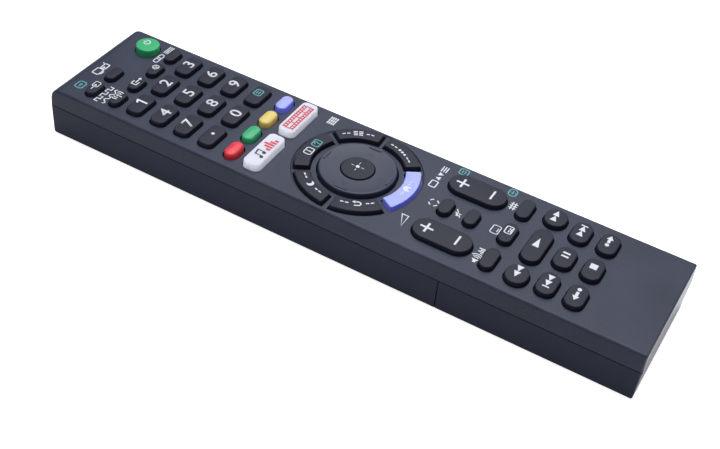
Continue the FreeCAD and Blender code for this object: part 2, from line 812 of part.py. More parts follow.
def side_of(y_low, y_high):
    """A block that takes the case between two places along its length."""
    return box(-CASE_WIDTH, CASE_WIDTH, y_low, y_high, -PAST, TOP_Z)


def door_slot():
    """The recess in the floor beyond the split, where the door's tongue lies."""
    half = BAY_HALF + TONGUE_GAP
    low = BACK_WALL - TONGUE_THICKNESS - TONGUE_GAP
    return box(-half, half, SPLIT_Y - PAST, SPLIT_Y + TONGUE_LENGTH, low, BACK_WALL + PAST)


def bottom_case():
    """The back shell: the cells' bay, the deck over it, floor ribs and the board's posts."""
    shell = lower_shell().common(side_of(SPLIT_Y, SIGNAL_Y + PAST)).cut(door_slot())
    inside = CASE_WIDTH / 2 - SIDE_DRAFT_TOP - SIDE_WALL - LIP_GAP
    tail = BAY_LOW - BAY_WALL
    rib_low = BACK_WALL + DOOR_SLIDE_GAP
    low_inside = CASE_WIDTH / 2 - SIDE_DRAFT_BASE - SIDE_WALL
    in_wall = low_inside + SIDE_WALL / 2
    beyond = BULKHEAD_Y + BAY_WALL
    pieces = [
        box(-inside, inside, tail, beyond, DECK_LOW, DECK_TOP),
        box(-low_inside, low_inside, BULKHEAD_Y, beyond, BACK_WALL / 2, DECK_LOW),
        box(-in_wall, in_wall, BULKHEAD_Y, beyond, BACK_WALL / 2, REBATE_LOW),
    ]
    for low in (BAY_LOW - BAY_WALL, BAY_HIGH):
        wall_half = BAY_HALF + BAY_WALL
        pieces.append(box(-wall_half, wall_half, low, low + BAY_WALL, rib_low, DECK_LOW))
    for side in (-1, 1):
        wall = sorted((side * BAY_HALF, side * (BAY_HALF + BAY_WALL)))
        pieces.append(box(*wall, tail, BULKHEAD_Y, rib_low, DECK_LOW))
        web = sorted((side * (WEB_OUT - RAIL_WEB), side * WEB_OUT))
        pieces.append(box(*web, tail, BULKHEAD_Y, FOOT_TOP - RAIL_THICKNESS, DECK_LOW))
        foot = sorted((side * (WEB_OUT - RAIL_WEB), side * FOOT_OUT))
        pieces.append(box(*foot, tail, BULKHEAD_Y, FOOT_TOP - RAIL_THICKNESS, FOOT_TOP))
    for index in range(FLOOR_RIB_COUNT):
        share = (index + 1) / (FLOOR_RIB_COUNT + 1)
        y = BULKHEAD_Y + share * (SIGNAL_Y - BULKHEAD_Y)
        pieces.append(box(
            -in_wall, in_wall, y - FLOOR_RIB_THICKNESS / 2, y + FLOOR_RIB_THICKNESS / 2,
            BACK_WALL / 2, BACK_WALL + FLOOR_RIB_HEIGHT,
        ))
    for x, y in post_places():
        pieces.append(Part.makeCylinder(
            POST_DIAMETER / 2, BOARD_LOW - BACK_WALL / 2, Vector(x, y, BACK_WALL / 2)
        ))
        pieces.append(Part.makeCylinder(
            POST_PIN_DIAMETER / 2, BOARD_THICKNESS, Vector(x, y, BOARD_LOW)
        ))
    body = shell.fuse(pieces)
    return body.cut(lamp_hole()).removeSplitter()


def post_places():
    """Two pairs of posts between the split and the signal end."""
    near = BULKHEAD_Y + BAY_WALL + POST_DIAMETER
    far = SIGNAL_Y - POST_FROM_END
    return [(side * POST_X, y) for side in (-1, 1) for y in (near, far)]


def battery_door():
    """The sliding door: the tail of the back, with rails, a lap tongue and grip grooves."""
    front = SPLIT_Y - DOOR_GAP
    shell = lower_shell().common(side_of(TAIL_Y - PAST, front))
    tongue_low = BACK_WALL - TONGUE_THICKNESS
    tongue_end = SPLIT_Y + TONGUE_LENGTH - TONGUE_GAP
    pieces = [box(-BAY_HALF, BAY_HALF, front - PAST, tongue_end, tongue_low, BACK_WALL)]
    rail_out = CASE_WIDTH / 2 - SIDE_WALL / 2 - SIDE_DRAFT_BASE
    tail = TAIL_Y + TAIL_DRAFT_BASE + SIDE_WALL / 2
    for side in (-1, 1):
        rail = sorted((side * RAIL_IN, side * rail_out))
        pieces.append(box(
            *rail, tail, front, RAIL_TOP - RAIL_THICKNESS, RAIL_TOP
        ))
    body = shell.fuse(pieces)
    grooves = []
    for index in range(GRIP_COUNT):
        y = SPLIT_Y - GRIP_FROM_SPLIT - index * GRIP_PITCH
        grooves.append(box(
            -GRIP_LENGTH / 2, GRIP_LENGTH / 2, y - GRIP_WIDTH / 2, y + GRIP_WIDTH / 2,
            -PAST, GRIP_DEPTH,
        ))
    return body.cut(grooves).removeSplitter()


def keypad_mat(keys):
    """The soft sheet on the board, open round every key."""
    side = SIDE_DRAFT_TOP + SIDE_WALL + MAT_EDGE_GAP
    sheet = inset_block(BOARD_TOP, BOARD_TOP + MAT_THICKNESS, side, BOARD_CORNER)
    openings = [key.mat_hole() for key in keys]
    openings.append(Part.makeCylinder(
        PAD_DIAMETER / 2 + MAT_GAP, MAT_THICKNESS + 2 * PAST,
        Vector(0, ROW_Y["ring"], BOARD_TOP - PAST),
    ))
    openings.append(lamp_notch())
    return sheet.cut(openings)


def lamp_notch():
    """The notch that clears the lamp, through the board and the mat on it."""
    half = LAMP_FLANGE_DIAMETER / 2 + NOTCH_MARGIN
    back = SIGNAL_Y - LAMP_RECESS - LAMP_LENGTH - NOTCH_MARGIN / 2
    return box(-half, half, back, SIGNAL_Y, BOARD_LOW - PAST, BOARD_TOP + MAT_THICKNESS + PAST)


def circuit_board():
    """The board over the bay, with holes for its posts and a notch for the lamp."""
    side = SIDE_DRAFT_TOP + SIDE_WALL + BOARD_EDGE_GAP
    sheet = inset_block(BOARD_LOW, BOARD_TOP, side, BOARD_CORNER)
    cuts = [lamp_notch()]
    hole = POST_PIN_DIAMETER / 2 + POST_PIN_GAP
    for x, y in post_places():
        place = Vector(x, y, BOARD_LOW - PAST)
        cuts.append(Part.makeCylinder(hole, BOARD_THICKNESS + 2 * PAST, place))
    return sheet.cut(cuts)


def board_parts():
    """Chip, crystal and capacitor under the board, in the deep part of the case."""
    y = BULKHEAD_Y + BAY_WALL + POST_DIAMETER + PARTS_SPACE
    chip = box(
        -CHIP_WIDTH / 2, CHIP_WIDTH / 2, y, y + CHIP_LENGTH, BOARD_LOW - CHIP_HEIGHT, BOARD_LOW
    )
    y += CHIP_LENGTH + PARTS_SPACE
    low = BOARD_LOW - CRYSTAL_HEIGHT
    corner = CRYSTAL_WIDTH / 2
    can = rounded_wire(
        -CRYSTAL_LENGTH / 2, CRYSTAL_LENGTH / 2, y, y + CRYSTAL_WIDTH, low, corner
    )
    crystal = prism(can, CRYSTAL_HEIGHT)
    y += CRYSTAL_WIDTH + PARTS_SPACE + CAPACITOR_DIAMETER / 2
    capacitor = Part.makeCylinder(
        CAPACITOR_DIAMETER / 2, CAPACITOR_HEIGHT, Vector(0, y, BOARD_LOW - CAPACITOR_HEIGHT)
    )
    return Part.makeCompound([chip, crystal, capacitor])


def signal_lamp():
    """The infra-red lamp: a domed body with a flange, and two legs up to the board."""
    radius = LAMP_DIAMETER / 2
    tip = SIGNAL_Y - LAMP_RECESS
    back = tip - LAMP_LENGTH
    body = Part.makeCylinder(
        radius, LAMP_LENGTH - radius, Vector(0, back, SEAM_HEIGHT), Vector(0, 1, 0)
    )
    dome = Part.makeSphere(radius, Vector(0, tip - radius, SEAM_HEIGHT))
    flange = Part.makeCylinder(
        LAMP_FLANGE_DIAMETER / 2, LAMP_FLANGE_THICKNESS,
        Vector(0, back, SEAM_HEIGHT), Vector(0, 1, 0),
    )
    legs = []
    for side in (-1, 1):
        x = side * LAMP_LEG_PITCH / 2
        half = LAMP_LEG / 2
        legs.append(box(
            x - half, x + half, back - LAMP_LEG_REACH, back + half,
            SEAM_HEIGHT - half, SEAM_HEIGHT + half,
        ))
        legs.append(box(
            x - half, x + half, back - LAMP_LEG_REACH, back - LAMP_LEG_REACH + LAMP_LEG,
            SEAM_HEIGHT - half, BOARD_LOW,
        ))
    return body.fuse([dome, flange] + legs).removeSplitter()


def cell(x, y_low, up):
    """One cell along Y; up is 1 when its raised end points to the signal end."""
    axis = Vector(0, up, 0)
    start = y_low if up > 0 else y_low + CELL_LENGTH
    barrel = Part.makeCylinder(
        CELL_DIAMETER / 2, CELL_LENGTH - CELL_NUB_LENGTH, Vector(x, start, CELL_AXIS_Z), axis
    )
    nub = Part.makeCylinder(
        CELL_NUB_DIAMETER / 2, CELL_LENGTH, Vector(x, start, CELL_AXIS_Z), axis
    )
    return barrel.fuse(nub).removeSplitter()


def cells():
    """Two cells side by side, turned opposite ways."""
    return Part.makeCompound([
        cell(-CELL_X, BAY_LOW + SPRING_LENGTH, 1),
        cell(CELL_X, BAY_LOW + PLATE_THICKNESS, -1),
    ])


def contacts():
    """A tapered spring at each flat end and a plate at each raised end."""
    solids = []
    for x, up in ((-CELL_X, 1), (CELL_X, -1)):
        spring_y = BAY_LOW if up > 0 else BAY_HIGH
        plate_y = BAY_HIGH - PLATE_THICKNESS if up > 0 else BAY_LOW
        solids.append(Part.makeCone(
            SPRING_BASE_DIAMETER / 2, SPRING_TIP_DIAMETER / 2, SPRING_LENGTH,
            Vector(x, spring_y, CELL_AXIS_Z), Vector(0, up, 0),
        ))
        half = PLATE_SIZE / 2
        solids.append(box(
            x - half, x + half, plate_y, plate_y + PLATE_THICKNESS,
            CELL_AXIS_Z - half, CELL_AXIS_Z + half,
        ))
    return Part.makeCompound(solids)


def build():
    """Every piece by its node's name."""
    rockers = rocker_keys()
    keys = (
        small_keys() + number_keys() + colour_keys() + wide_keys() + arc_keys()
        + middle_keys() + label_keys() + playing_keys() + rockers
    )
    parts = {key.name: key.solid() for key in keys}
    parts["key_select"] = select_key()
    parts["direction_ring"] = direction_ring()
    parts["direction_web"] = direction_web()
    parts["top_case"] = top_case(keys)
    parts["bottom_case"] = bottom_case()
    parts["battery_door"] = battery_door()
    parts["keypad_mat"] = keypad_mat(keys)
    parts["circuit_board"] = circuit_board()
    parts["board_parts"] = board_parts()
    parts["signal_lamp"] = signal_lamp()
    parts["battery_cells"] = cells()
    parts["battery_contacts"] = contacts()
    return parts


def main():
    os.makedirs("parts", exist_ok=True)
    for name, shape in build().items():
        shape.exportStep(os.path.join("parts", name + ".step"))
        print(name, len(shape.Solids), "solids", round(shape.Volume, 1), "mm3", shape.isValid())


main()
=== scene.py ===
import math

import bmesh
import bpy
import numpy as np
from bpy.props import FloatProperty, FloatVectorProperty, PointerProperty
from mathutils import Matrix, Vector


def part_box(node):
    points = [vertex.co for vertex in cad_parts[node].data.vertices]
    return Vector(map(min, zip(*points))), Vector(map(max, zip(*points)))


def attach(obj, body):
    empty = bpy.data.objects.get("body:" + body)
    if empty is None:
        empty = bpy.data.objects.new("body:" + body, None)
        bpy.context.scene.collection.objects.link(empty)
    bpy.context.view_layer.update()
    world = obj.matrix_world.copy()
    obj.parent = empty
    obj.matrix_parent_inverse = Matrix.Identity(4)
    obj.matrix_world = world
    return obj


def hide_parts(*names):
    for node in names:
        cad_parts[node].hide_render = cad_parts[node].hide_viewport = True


bl_info = {
    "name": "Television remote control",
    "version": (1, 0, 0),
    "blender": (4, 5, 0),
    "location": "3D View > Sidebar > Remote",
    "description": "Gives the CAD model of a television remote control its surfaces and finishes",
    "category": "Object",
}

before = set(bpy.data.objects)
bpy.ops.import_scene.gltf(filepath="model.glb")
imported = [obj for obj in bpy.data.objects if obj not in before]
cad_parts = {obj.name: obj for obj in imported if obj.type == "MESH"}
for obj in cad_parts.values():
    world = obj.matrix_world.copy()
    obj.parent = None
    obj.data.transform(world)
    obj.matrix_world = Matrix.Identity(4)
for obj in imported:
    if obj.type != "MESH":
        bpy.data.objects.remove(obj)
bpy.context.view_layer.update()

# Lengths are written in millimetres and become metres when they are used
MM = 0.001
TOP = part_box("top_case")[1].z
RING_Y = (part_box("direction_ring")[0].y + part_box("direction_ring")[1].y) / 2

# Points of a mesh that are nearer than this many metres are one point
MERGE = 1e-6
# Edges that turn by more than this stay sharp
SHARP = math.radians(38)

GREY = (0.5, 0.5, 0.5, 1)
# Broad changes of tone have this many features to the metre, and every noise this detail
BROAD_FEATURES = 55.0
NOISE_DETAIL = 3.0
# Height of the moulded grain, and how far light soaks into a translucent key
GRAIN_DEPTH = 0.02 * MM
SOAK_DEPTH = 2 * MM
COAT_ROUGHNESS = 0.1
# A key's colour turns from its side's to its top's from this z part of the normal, this fast: light
# and shade painted in by facing
SIDE_LIMIT = 0.35
SIDE_BLEND = 2.0

# Each lamp's place and the width of its square, in metres
LAMPS = {
    "key_light": ((0.25, 0.12, 1.05), 0.9),
    "edge_light": ((-0.70, 0.25, 0.80), 0.6),
    "sheen_light": ((0.68, 0.24, 0.66), 0.45),
}
LAMP_TINT = (0.92, 0.95, 1.0)
SKY_TINT = (0.93, 0.95, 1.0, 1)
# How bright the backdrop looks, and the floor as it is seen and as it is mirrored
BACKDROP = 1.1
FLOOR_SEEN = 0.85
FLOOR_MIRRORED = 0.2
FLOOR_TINT = (0.68, 0.68, 0.70, 1)
# Half the floor's width, in metres, and its place just under the object
FLOOR_REACH = 3.0
FLOOR_Z = -0.1 * MM
# The point that the camera turns about
TARGET = (-0.15 * MM, -0.75 * MM, TOP)
SENSOR_WIDTH = 36
NEAREST_SEEN = 0.01


def length(name, description, millimetres):
    """A size that a user may change, kept in metres."""
    return FloatProperty(
        name=name, description=description, default=millimetres * MM, unit="LENGTH", precision=5
    )


def angle(name, description, degrees):
    """An angle that a user may change, kept in radians."""
    return FloatProperty(
        name=name, description=description, default=math.radians(degrees), unit="ROTATION"
    )


def number(name, description, value, unit="NONE"):
    """A number that a user may change."""
    return FloatProperty(name=name, description=description, default=value, unit=unit)


def colour(name, description, *tint):
    """A linear colour that a user may change."""
    return FloatVectorProperty(
        name=name, description=description, default=tint, subtype="COLOR", min=0, max=1
    )


class KeySizes(bpy.types.PropertyGroup):
    """Sizes that the caps of the keys share."""

    flange: length("Flange reach", "How far a flange stands out from its cap", 0.6)
    near_flange: length("Short flange reach", "The same at the ends of the coloured keys", 0.1)
    flange_height: length("Flange thickness", "Thickness of the plate under a cap", 0.6)
    draft: length("Draft", "How far a cap's wall leans in up to its top", 0.2)
    edge: length("Edge radius", "Rounding round the top of a cap", 0.32)
    crown: length("Crown", "How far the middle of a top stands above its rim", 0.05)
    dome_edge: length("Dome edge radius", "Rounding round the coloured keys", 0.7)
    dome_crown: length("Dome crown", "How far a coloured key swells", 0.3)
    dome_inset: length("Dome inset", "How much narrower a coloured key is than in CAD", 0.3)
    number_corner: length("Number key corner", "Corner radius of the number keys", 2.0)
    wide_corner: length("Wide key corner", "Corner radius of the two white keys", 1.9)
    skip_corner: length("Skip key corner", "Corner radius of the six skip keys", 2.8)
    rocker_tab: length("Rocker tab", "Length of the tab that holds a rocker", 5.0)
    rocker_base: length("Rocker base", "Height of a rocker's base over its rib", 0.61)


class PadSizes(bpy.types.PropertyGroup):
    """Sizes of the direction pad and the arc keys round it."""

    arc_inner: length("Arc inner radius", "Inner radius of the arc keys", 14.5)
    arc_outer: length("Arc outer radius", "Outer radius of the arc keys", 19.7)
    arc_corner: length("Arc corner", "Corner radius of the arc keys", 0.8)
    arc_flange: length("Arc flange reach", "How far the flange stands out", 0.2)
    pocket_gap: length("Pocket gap", "From the web's rim to the wall of the pad's pocket", 0.4)
    pocket_room: length("Pocket room", "From the web's top to the pocket's ceiling", 0.5)
    long_arc: angle("Long arc", "Span of the two long arc keys", 62)
    short_arc: angle("Short arc", "Span of the four short arc keys", 50)
    short_place: angle("Short arc place", "Angle from the cross axis to a short arc's middle", 28)
    tab: length("Select flange thickness", "Thickness of the plate under the select key", 0.5)
    bore: length("Bore radius", "Radius of the hole for the select key", 5.5)
    bore_drop: length("Bore edge drop", "How far the bore's edge lies under the rim", 0.45)
    rim: length("Rim radius", "Rounding of the pad's rim", 0.5)
    ridge_length: length("Ridge length", "Length of the four raised ridges", 4.3)
    ridge_width: length("Ridge width", "Width of the four raised ridges", 0.8)
    ridge_rise: length("Ridge rise", "How far a ridge stands over the rim", 0.15)
    ridge_margin: length("Ridge margin", "From a ridge to the outside of the pad", 0.85)
    mark: length("Mark radius", "From the middle of the pad to its four moulded arrows", 8.2)


class CellSizes(bpy.types.PropertyGroup):
    """Sizes of the two cells and their contacts."""

    cell: length("Cell length", "Length of one cell over its raised end", 44.5)
    cell_edge: length("Cell edge", "Rounding of a cell's can", 0.5)
    band: number("Band start", "Where a cell's band starts, as a share of its can", 0.72)
    nub: length("Raised end radius", "Radius of a cell's raised end", 1.9)
    nub_rise: length("Raised end height", "How far the raised end stands out", 0.8)
    wire: length("Spring wire radius", "Radius of the wire of a spring", 0.3)
    spring: length("Spring length", "Length of a spring under its cell", 5.0)
    spring_base: length("Spring base radius", "Radius of a spring where it is held", 3.5)
    spring_tip: length("Spring tip radius", "Radius of a spring at its cell", 2.0)
    turns: number("Spring turns", "Turns of the wire in a spring", 4.5)
    plate: length("Plate thickness", "Thickness of a contact plate", 0.4)


class SignSizes(bpy.types.PropertyGroup):
    """Sizes of the printed signs."""

    lift: length("Lift", "How far a sign's top stands over its key", 0.02)
    ink: length("Ink", "Thickness of the print", 0.015)
    digit: length("Digit height", "Height of the numbers", 4.0)
    widen: number("Digit width", "How much wider a number is than in the plain face", 1.14)
    digit_x: length("Digit place across", "From a key's middle to its number's, along X", 0.45)
    digit_y: length("Digit place along", "From a key's middle to its number's, along Y", 0.25)


class Finishes(bpy.types.PropertyGroup):
    """Colours of the plastics, prints and metals, some with painted light and shade, and the reach
    of the polish.
    """

    case_top: colour("Top shell", "Charcoal of the top shell", 0.034, 0.040, 0.068)
    case_back: colour("Back shell", "Charcoal of the back shell and door", 0.021, 0.026, 0.052)
    polished: length("Polished end", "How far the polish reaches in from the tail's face", 0.5)
    key_dark: colour("Dark keys", "Charcoal of most keys", 0.020, 0.022, 0.038)
    pad: colour("Direction pad", "Grey of the tilting ring", 0.046, 0.052, 0.083)
    white: colour("White keys", "White of the two wide keys", 0.61, 0.61, 0.69)
    # The white keys' sides are painted paler than their tops: a painted glow on the sides
    white_side_painted_glow: colour("White keys' sides", "Colour painted on its sides for how light falls there", 0.87, 0.88, 1.0)
    power: colour("Power key", "Green of the power key", 0.045, 0.49, 0.19)
    red: colour("Red key", "Red of the first coloured key", 0.92, 0.055, 0.075)
    green: colour("Green key", "Green of the second coloured key", 0.06, 0.49, 0.21)
    yellow: colour("Yellow key", "Yellow of the third coloured key", 0.88, 0.66, 0.20)
    # The lavender is the top's colour, painted paler than the sides' deeper blue: a painted sheen
    lavender: colour("Lavender keys", "Blue violet of the fourth coloured key", 0.40, 0.44, 0.86)
    lavender_side: colour("Lavender keys' sides", "Colour painted on its sides for how light falls there",
                          0.19, 0.21, 0.90)
    print_white: colour("White print", "Ink of most signs", 0.80, 0.81, 0.84)
    print_teal: colour("Teal print", "Ink of the second signs", 0.13, 0.42, 0.44)
    print_red: colour("Red print", "Ink of the film sign", 0.74, 0.06, 0.07)
    print_dark: colour("Dark print", "Ink of the note sign", 0.03, 0.03, 0.04)
    print_pale: colour("Pale print", "Ink on the home and power keys", 0.84, 0.86, 0.95)
    # The four moulded arrows' darker ink is a painted shadow
    print_shade: colour("Painted arrow shade", "Painted shade on the four arrows of the pad", 0.035, 0.036, 0.048)
    rubber: colour("Rubber", "Keypad mat", 0.012, 0.012, 0.014)
    mask: colour("Board mask", "Green mask of the circuit board", 0.01, 0.09, 0.03)
    parts: colour("Black parts", "Chips on the board, and the pad's web", 0.02, 0.02, 0.02)
    lens: colour("Lamp lens", "Dark lens of the signal lamp", 0.05, 0.035, 0.07)
    sleeve: colour("Cell sleeve", "Sleeve of the cells", 0.05, 0.055, 0.07)
    band: colour("Cell band", "Band round a cell by its raised end", 0.55, 0.38, 0.10)
    steel: colour("Steel", "Nickel plated contacts and cell ends", 0.62, 0.61, 0.58)


class StageSizes(bpy.types.PropertyGroup):
    """Camera and lights."""

    lens: number("Lens", "Focal length for a 36 mm sensor", 62.66, "CAMERA")
    shift: number("Shift", "Lens shift upwards, in frame widths", -0.0723)
    distance: length("Distance", "From the camera to the point that it turns about", 381.06)
    azimuth: angle("Azimuth", "Turn of the camera about the vertical", -64.385)
    elevation: angle("Elevation", "Height of the camera over the level", 39.854)
    roll: angle("Roll", "Turn of the camera about its own axis", 6.385)
    sky: number("Sky", "Strength of the light from all round", 0.14)
    key_light: number("Key light", "Power of the large soft light", 11.0, "POWER")
    edge_light: number("Edge light", "Power of the light along the left edge", 1.5, "POWER")
    sheen_light: number("Sheen light", "Power of the light that the case reflects", 1.2, "POWER")


def grid_faces(rows, columns):
    """Quads between neighbouring rows; each row is a ring whose last point joins its first."""
    index = np.arange(rows * columns).reshape(rows, columns)
    after = np.roll(index, -1, axis=1)
    return np.stack([index[:-1], after[:-1], after[1:], index[1:]], axis=-1).reshape(-1, 4)


def quarter_turn(count):
    """Even angles from nothing to a right angle."""
    return np.radians(np.linspace(0, 90, count))


def rounded_rings(half_x, half_y, corner, grows, shares, heights, spans=0, steps=9):
    """Rings of a rounded rectangle about the origin.

    A ring is the outline set out by its grow, because each corner's centre stays and its
    radius is the corner plus the grow. It is then shrunk to its share and put at its height.
    Spans adds that many points along each edge that runs in x.
    """
    turns = np.radians(np.linspace(0, 90, steps) + np.arange(4)[:, None] * 90)
    signs = np.array([[1, 1], [-1, 1], [-1, -1], [1, -1]])
    centres = signs * np.array([half_x - corner, half_y - corner])
    radius = np.maximum(corner + np.asarray(grows), 0)[:, None, None, None]
    arcs = np.stack([np.cos(turns), np.sin(turns)], axis=-1)
    quarters = centres[:, None, :] + radius * arcs
    step = np.linspace(0, 1, spans + 2)[None, 1:-1, None]
    parts = []
    for quarter in range(4):
        parts.append(quarters[:, quarter])
        if spans and quarter in (0, 2):
            start = quarters[:, quarter, -1:]
            parts.append(start + (quarters[:, quarter + 1, :1] - start) * step)
    flat = np.concatenate(parts, axis=1) * np.asarray(shares)[:, None, None]
    rise = np.broadcast_to(np.asarray(heights)[:, None, None], flat.shape[:2] + (1,))
    return np.concatenate([flat, rise], axis=-1)


def slab(half_x, half_y, corner, low, high, steps, lean=0):
    """A closed plate with rounded corners, whose flat top is narrower by the lean all round."""
    return rounded_rings(half_x, half_y, corner, (0, 0, -lean, 0), (0, 1, 1, 0),
                         (low, low, high, high), steps=steps)


def cap_profile(low, top, flange, flange_height, draft, edge, crown):
    """Grows, shares and heights from the middle of a key's base to the middle of its top.

    The base and flange are flat, the wall leans in by the draft, a quarter circle of the edge
    radius turns it over, and the top rises by the crown as one less the square of the share.
    """
    turn = quarter_turn(7)
    inward = np.linspace(1, 0, 7)[1:]
    rim = top - crown
    flange_top = low + flange_height
    grows = np.concatenate([
        [flange, flange, flange, 0], -draft - edge * (1 - np.cos(turn)),
        np.full(len(inward), -draft - edge),
    ])
    shares = np.concatenate([[0], np.ones(3 + len(turn)), inward])
    heights = np.concatenate([
        [low, low, flange_top, flange_top], rim - edge + edge * np.sin(turn),
        rim + crown * (1 - inward ** 2),
    ])
    return grows, shares, heights


def ring_surface(profile, columns=128):
    """A surface of revolution about the z axis through radius and height pairs."""
    profile = np.asarray(profile)
    turn = np.linspace(0, 2 * math.pi, columns, endpoint=False)
    radius = profile[:, 0:1]
    height = np.broadcast_to(profile[:, 1:2], (len(profile), columns))
    return np.stack([radius * np.cos(turn), radius * np.sin(turn), height], axis=-1)


def coil(base, tip, rise, wire, turns, steps=36, sides=10):
    """A round wire along a helix whose radius goes evenly from base to tip as it rises.

    The wire's section is a circle in the plane of the radius and the z axis, and its radius
    is nothing at the first and last ring, which closes both ends.
    """
    along = np.linspace(0, 1, int(steps * turns))
    along = np.concatenate([along[:1], along, along[-1:]])[:, None]
    thick = np.full(along.shape, wire)
    thick[[0, -1]] = 0
    side = np.linspace(0, 2 * math.pi, sides, endpoint=False)[None, :]
    turn = 2 * math.pi * turns * along
    reach = base + (tip - base) * along + thick * np.cos(side)
    height = wire + (rise - 2 * wire) * along - thick * np.sin(side)
    return np.stack([reach * np.cos(turn), reach * np.sin(turn), height], axis=-1)


def bent(points, radius, middle):
    """The plane wrapped round the pad's centre: x runs along the arc, y runs outwards."""
    turn = middle - points[..., 0] / radius
    reach = radius + points[..., 1]
    return np.stack(
        [reach * np.cos(turn), RING_Y + reach * np.sin(turn), points[..., 2]], axis=-1
    )


def moved(points, x, y, turn=0.0):
    """Points turned about the z axis and then moved in the plane."""
    cosine, sine = math.cos(turn), math.sin(turn)
    spin = np.array([[cosine, sine, 0], [-sine, cosine, 0], [0, 0, 1]])
    return points @ spin + np.array([x, y, 0])


def laid(points, x, y, z, way):
    """Points tipped so that their z axis runs along y, forwards or back, and then moved."""
    tipped = np.stack([points[..., 0], way * points[..., 2], -way * points[..., 1]], axis=-1)
    return tipped + np.array([x, y, z])


def vertex_places(mesh):
    """The places of a mesh's vertices, one row each."""
    places = np.empty(len(mesh.vertices) * 3)
    mesh.vertices.foreach_get("co", places)
    return places.reshape(-1, 3)


def finish(name):
    """A finish by its name, made by the materials operator."""
    return bpy.data.materials[name + "_finish"]


def piece_of(mesh, look, body):
    """A mesh as a piece under its own name, in its finish and on its body."""
    mesh.materials.clear()
    mesh.materials.append(finish(look))
    piece = bpy.data.objects.new(mesh.name, mesh)
    bpy.context.scene.collection.objects.link(piece)
    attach(piece, body)
    return piece


def smooth_piece(mesh, look, body):
    """A piece whose doubles are merged, shaded smooth between its sharp edges."""
    work = bmesh.new()
    work.from_mesh(mesh)
    bmesh.ops.remove_doubles(work, verts=work.verts, dist=MERGE)
    bmesh.ops.dissolve_degenerate(work, edges=work.edges, dist=MERGE / 10)
    work.to_mesh(mesh)
    work.free()
    mesh.shade_smooth()
    mesh.set_sharp_from_angle(angle=SHARP)
    return piece_of(mesh, look, body)


def surface(name, grids, body, slot, node=None, look=None):
    """A piece from one or more grids of rings, with its poles and seams merged.

    It stands for the node, if one is given, and its finish is its slot's, unless it has a look
    of its own. Its attribute named up is the z part of each vertex's normal.
    """
    places = [grid.reshape(-1, 3) for grid in grids]
    starts = np.cumsum([0] + [len(part) for part in places])
    faces = [grid_faces(*grid.shape[:2]) + start for grid, start in zip(grids, starts)]
    mesh = bpy.data.meshes.new(name)
    mesh.from_pydata(np.concatenate(places).tolist(), [], np.concatenate(faces).tolist())
    piece = smooth_piece(mesh, look or slot, body)
    normals = np.empty(len(mesh.vertices) * 3)
    mesh.vertex_normals.foreach_get("vector", normals)
    mesh.attributes.new("up", "FLOAT", "POINT").data.foreach_set("value", normals[2::3])
    if node:
        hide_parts(node)


def smooth_copy(node, body, slot):
    """A merged copy of a CAD node: curved edges shade smoothly and the flats stay flat."""
    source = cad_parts[node].data
    corners = np.empty(len(source.loops), dtype=np.int32)
    source.loops.foreach_get("vertex_index", corners)
    mesh = bpy.data.meshes.new(node + "_shell")
    mesh.from_pydata(vertex_places(source).tolist(), [], corners.reshape(-1, 3).tolist())
    piece = smooth_piece(mesh, slot, body)
    normals = piece.modifiers.new("Flat faces stay flat", "WEIGHTED_NORMAL")
    normals.mode = "FACE_AREA"
    # At its full weight of 100, a large face outweighs the small ones beside it
    normals.weight = 100
    normals.keep_sharp = True
    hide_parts(node)


def preset(node, values):
    """Set a shader node's own inputs by their names."""
    for label, value in values.items():
        node.inputs[label].default_value = value


def feed(tree, value, socket):
    """Give a socket a number of its own, or link another socket to it."""
    if isinstance(value, (int, float)):
        socket.default_value = value
    else:
        tree.links.new(value, socket)


def maths(tree, operation, first, second):
    """A maths node; each operand is a number or a socket."""
    node = tree.nodes.new("ShaderNodeMath")
    node.operation = operation
    feed(tree, first, node.inputs[0])
    feed(tree, second, node.inputs[1])
    return node.outputs[0]


def noise(tree, scale):
    """A noise texture on object coordinates; the scale is in features to the metre."""
    place = tree.nodes.new("ShaderNodeTexCoord")
    texture = tree.nodes.new("ShaderNodeTexNoise")
    texture.inputs["Detail"].default_value = NOISE_DETAIL
    tree.links.new(place.outputs["Object"], texture.inputs["Vector"])
    feed(tree, scale, texture.inputs["Scale"])
    return texture.outputs["Fac"]


def new_group(name, inputs, outputs):
    """An empty shader group with named sockets, and its input and output nodes.

    An input is a number or a colour, as its default is, and only Colour puts out a colour.
    """
    group = bpy.data.node_groups.new(name, "ShaderNodeTree")
    for label, default in inputs.items():
        kind = "NodeSocketFloat" if isinstance(default, float) else "NodeSocketColor"
        socket = group.interface.new_socket(label, in_out="INPUT", socket_type=kind)
        socket.default_value = default
    for label in outputs:
        kind = "NodeSocketColor" if label == "Colour" else "NodeSocketFloat"
        group.interface.new_socket(label, in_out="OUTPUT", socket_type=kind)
    return group, group.nodes.new("NodeGroupInput"), group.nodes.new("NodeGroupOutput")


def placed_group(tree, name, values):
    """A shared group placed in a material, with the material's own values."""
    node = tree.nodes.new("ShaderNodeGroup")
    node.name = name
    node.node_tree = bpy.data.node_groups[name]
    preset(node, values)
    return node


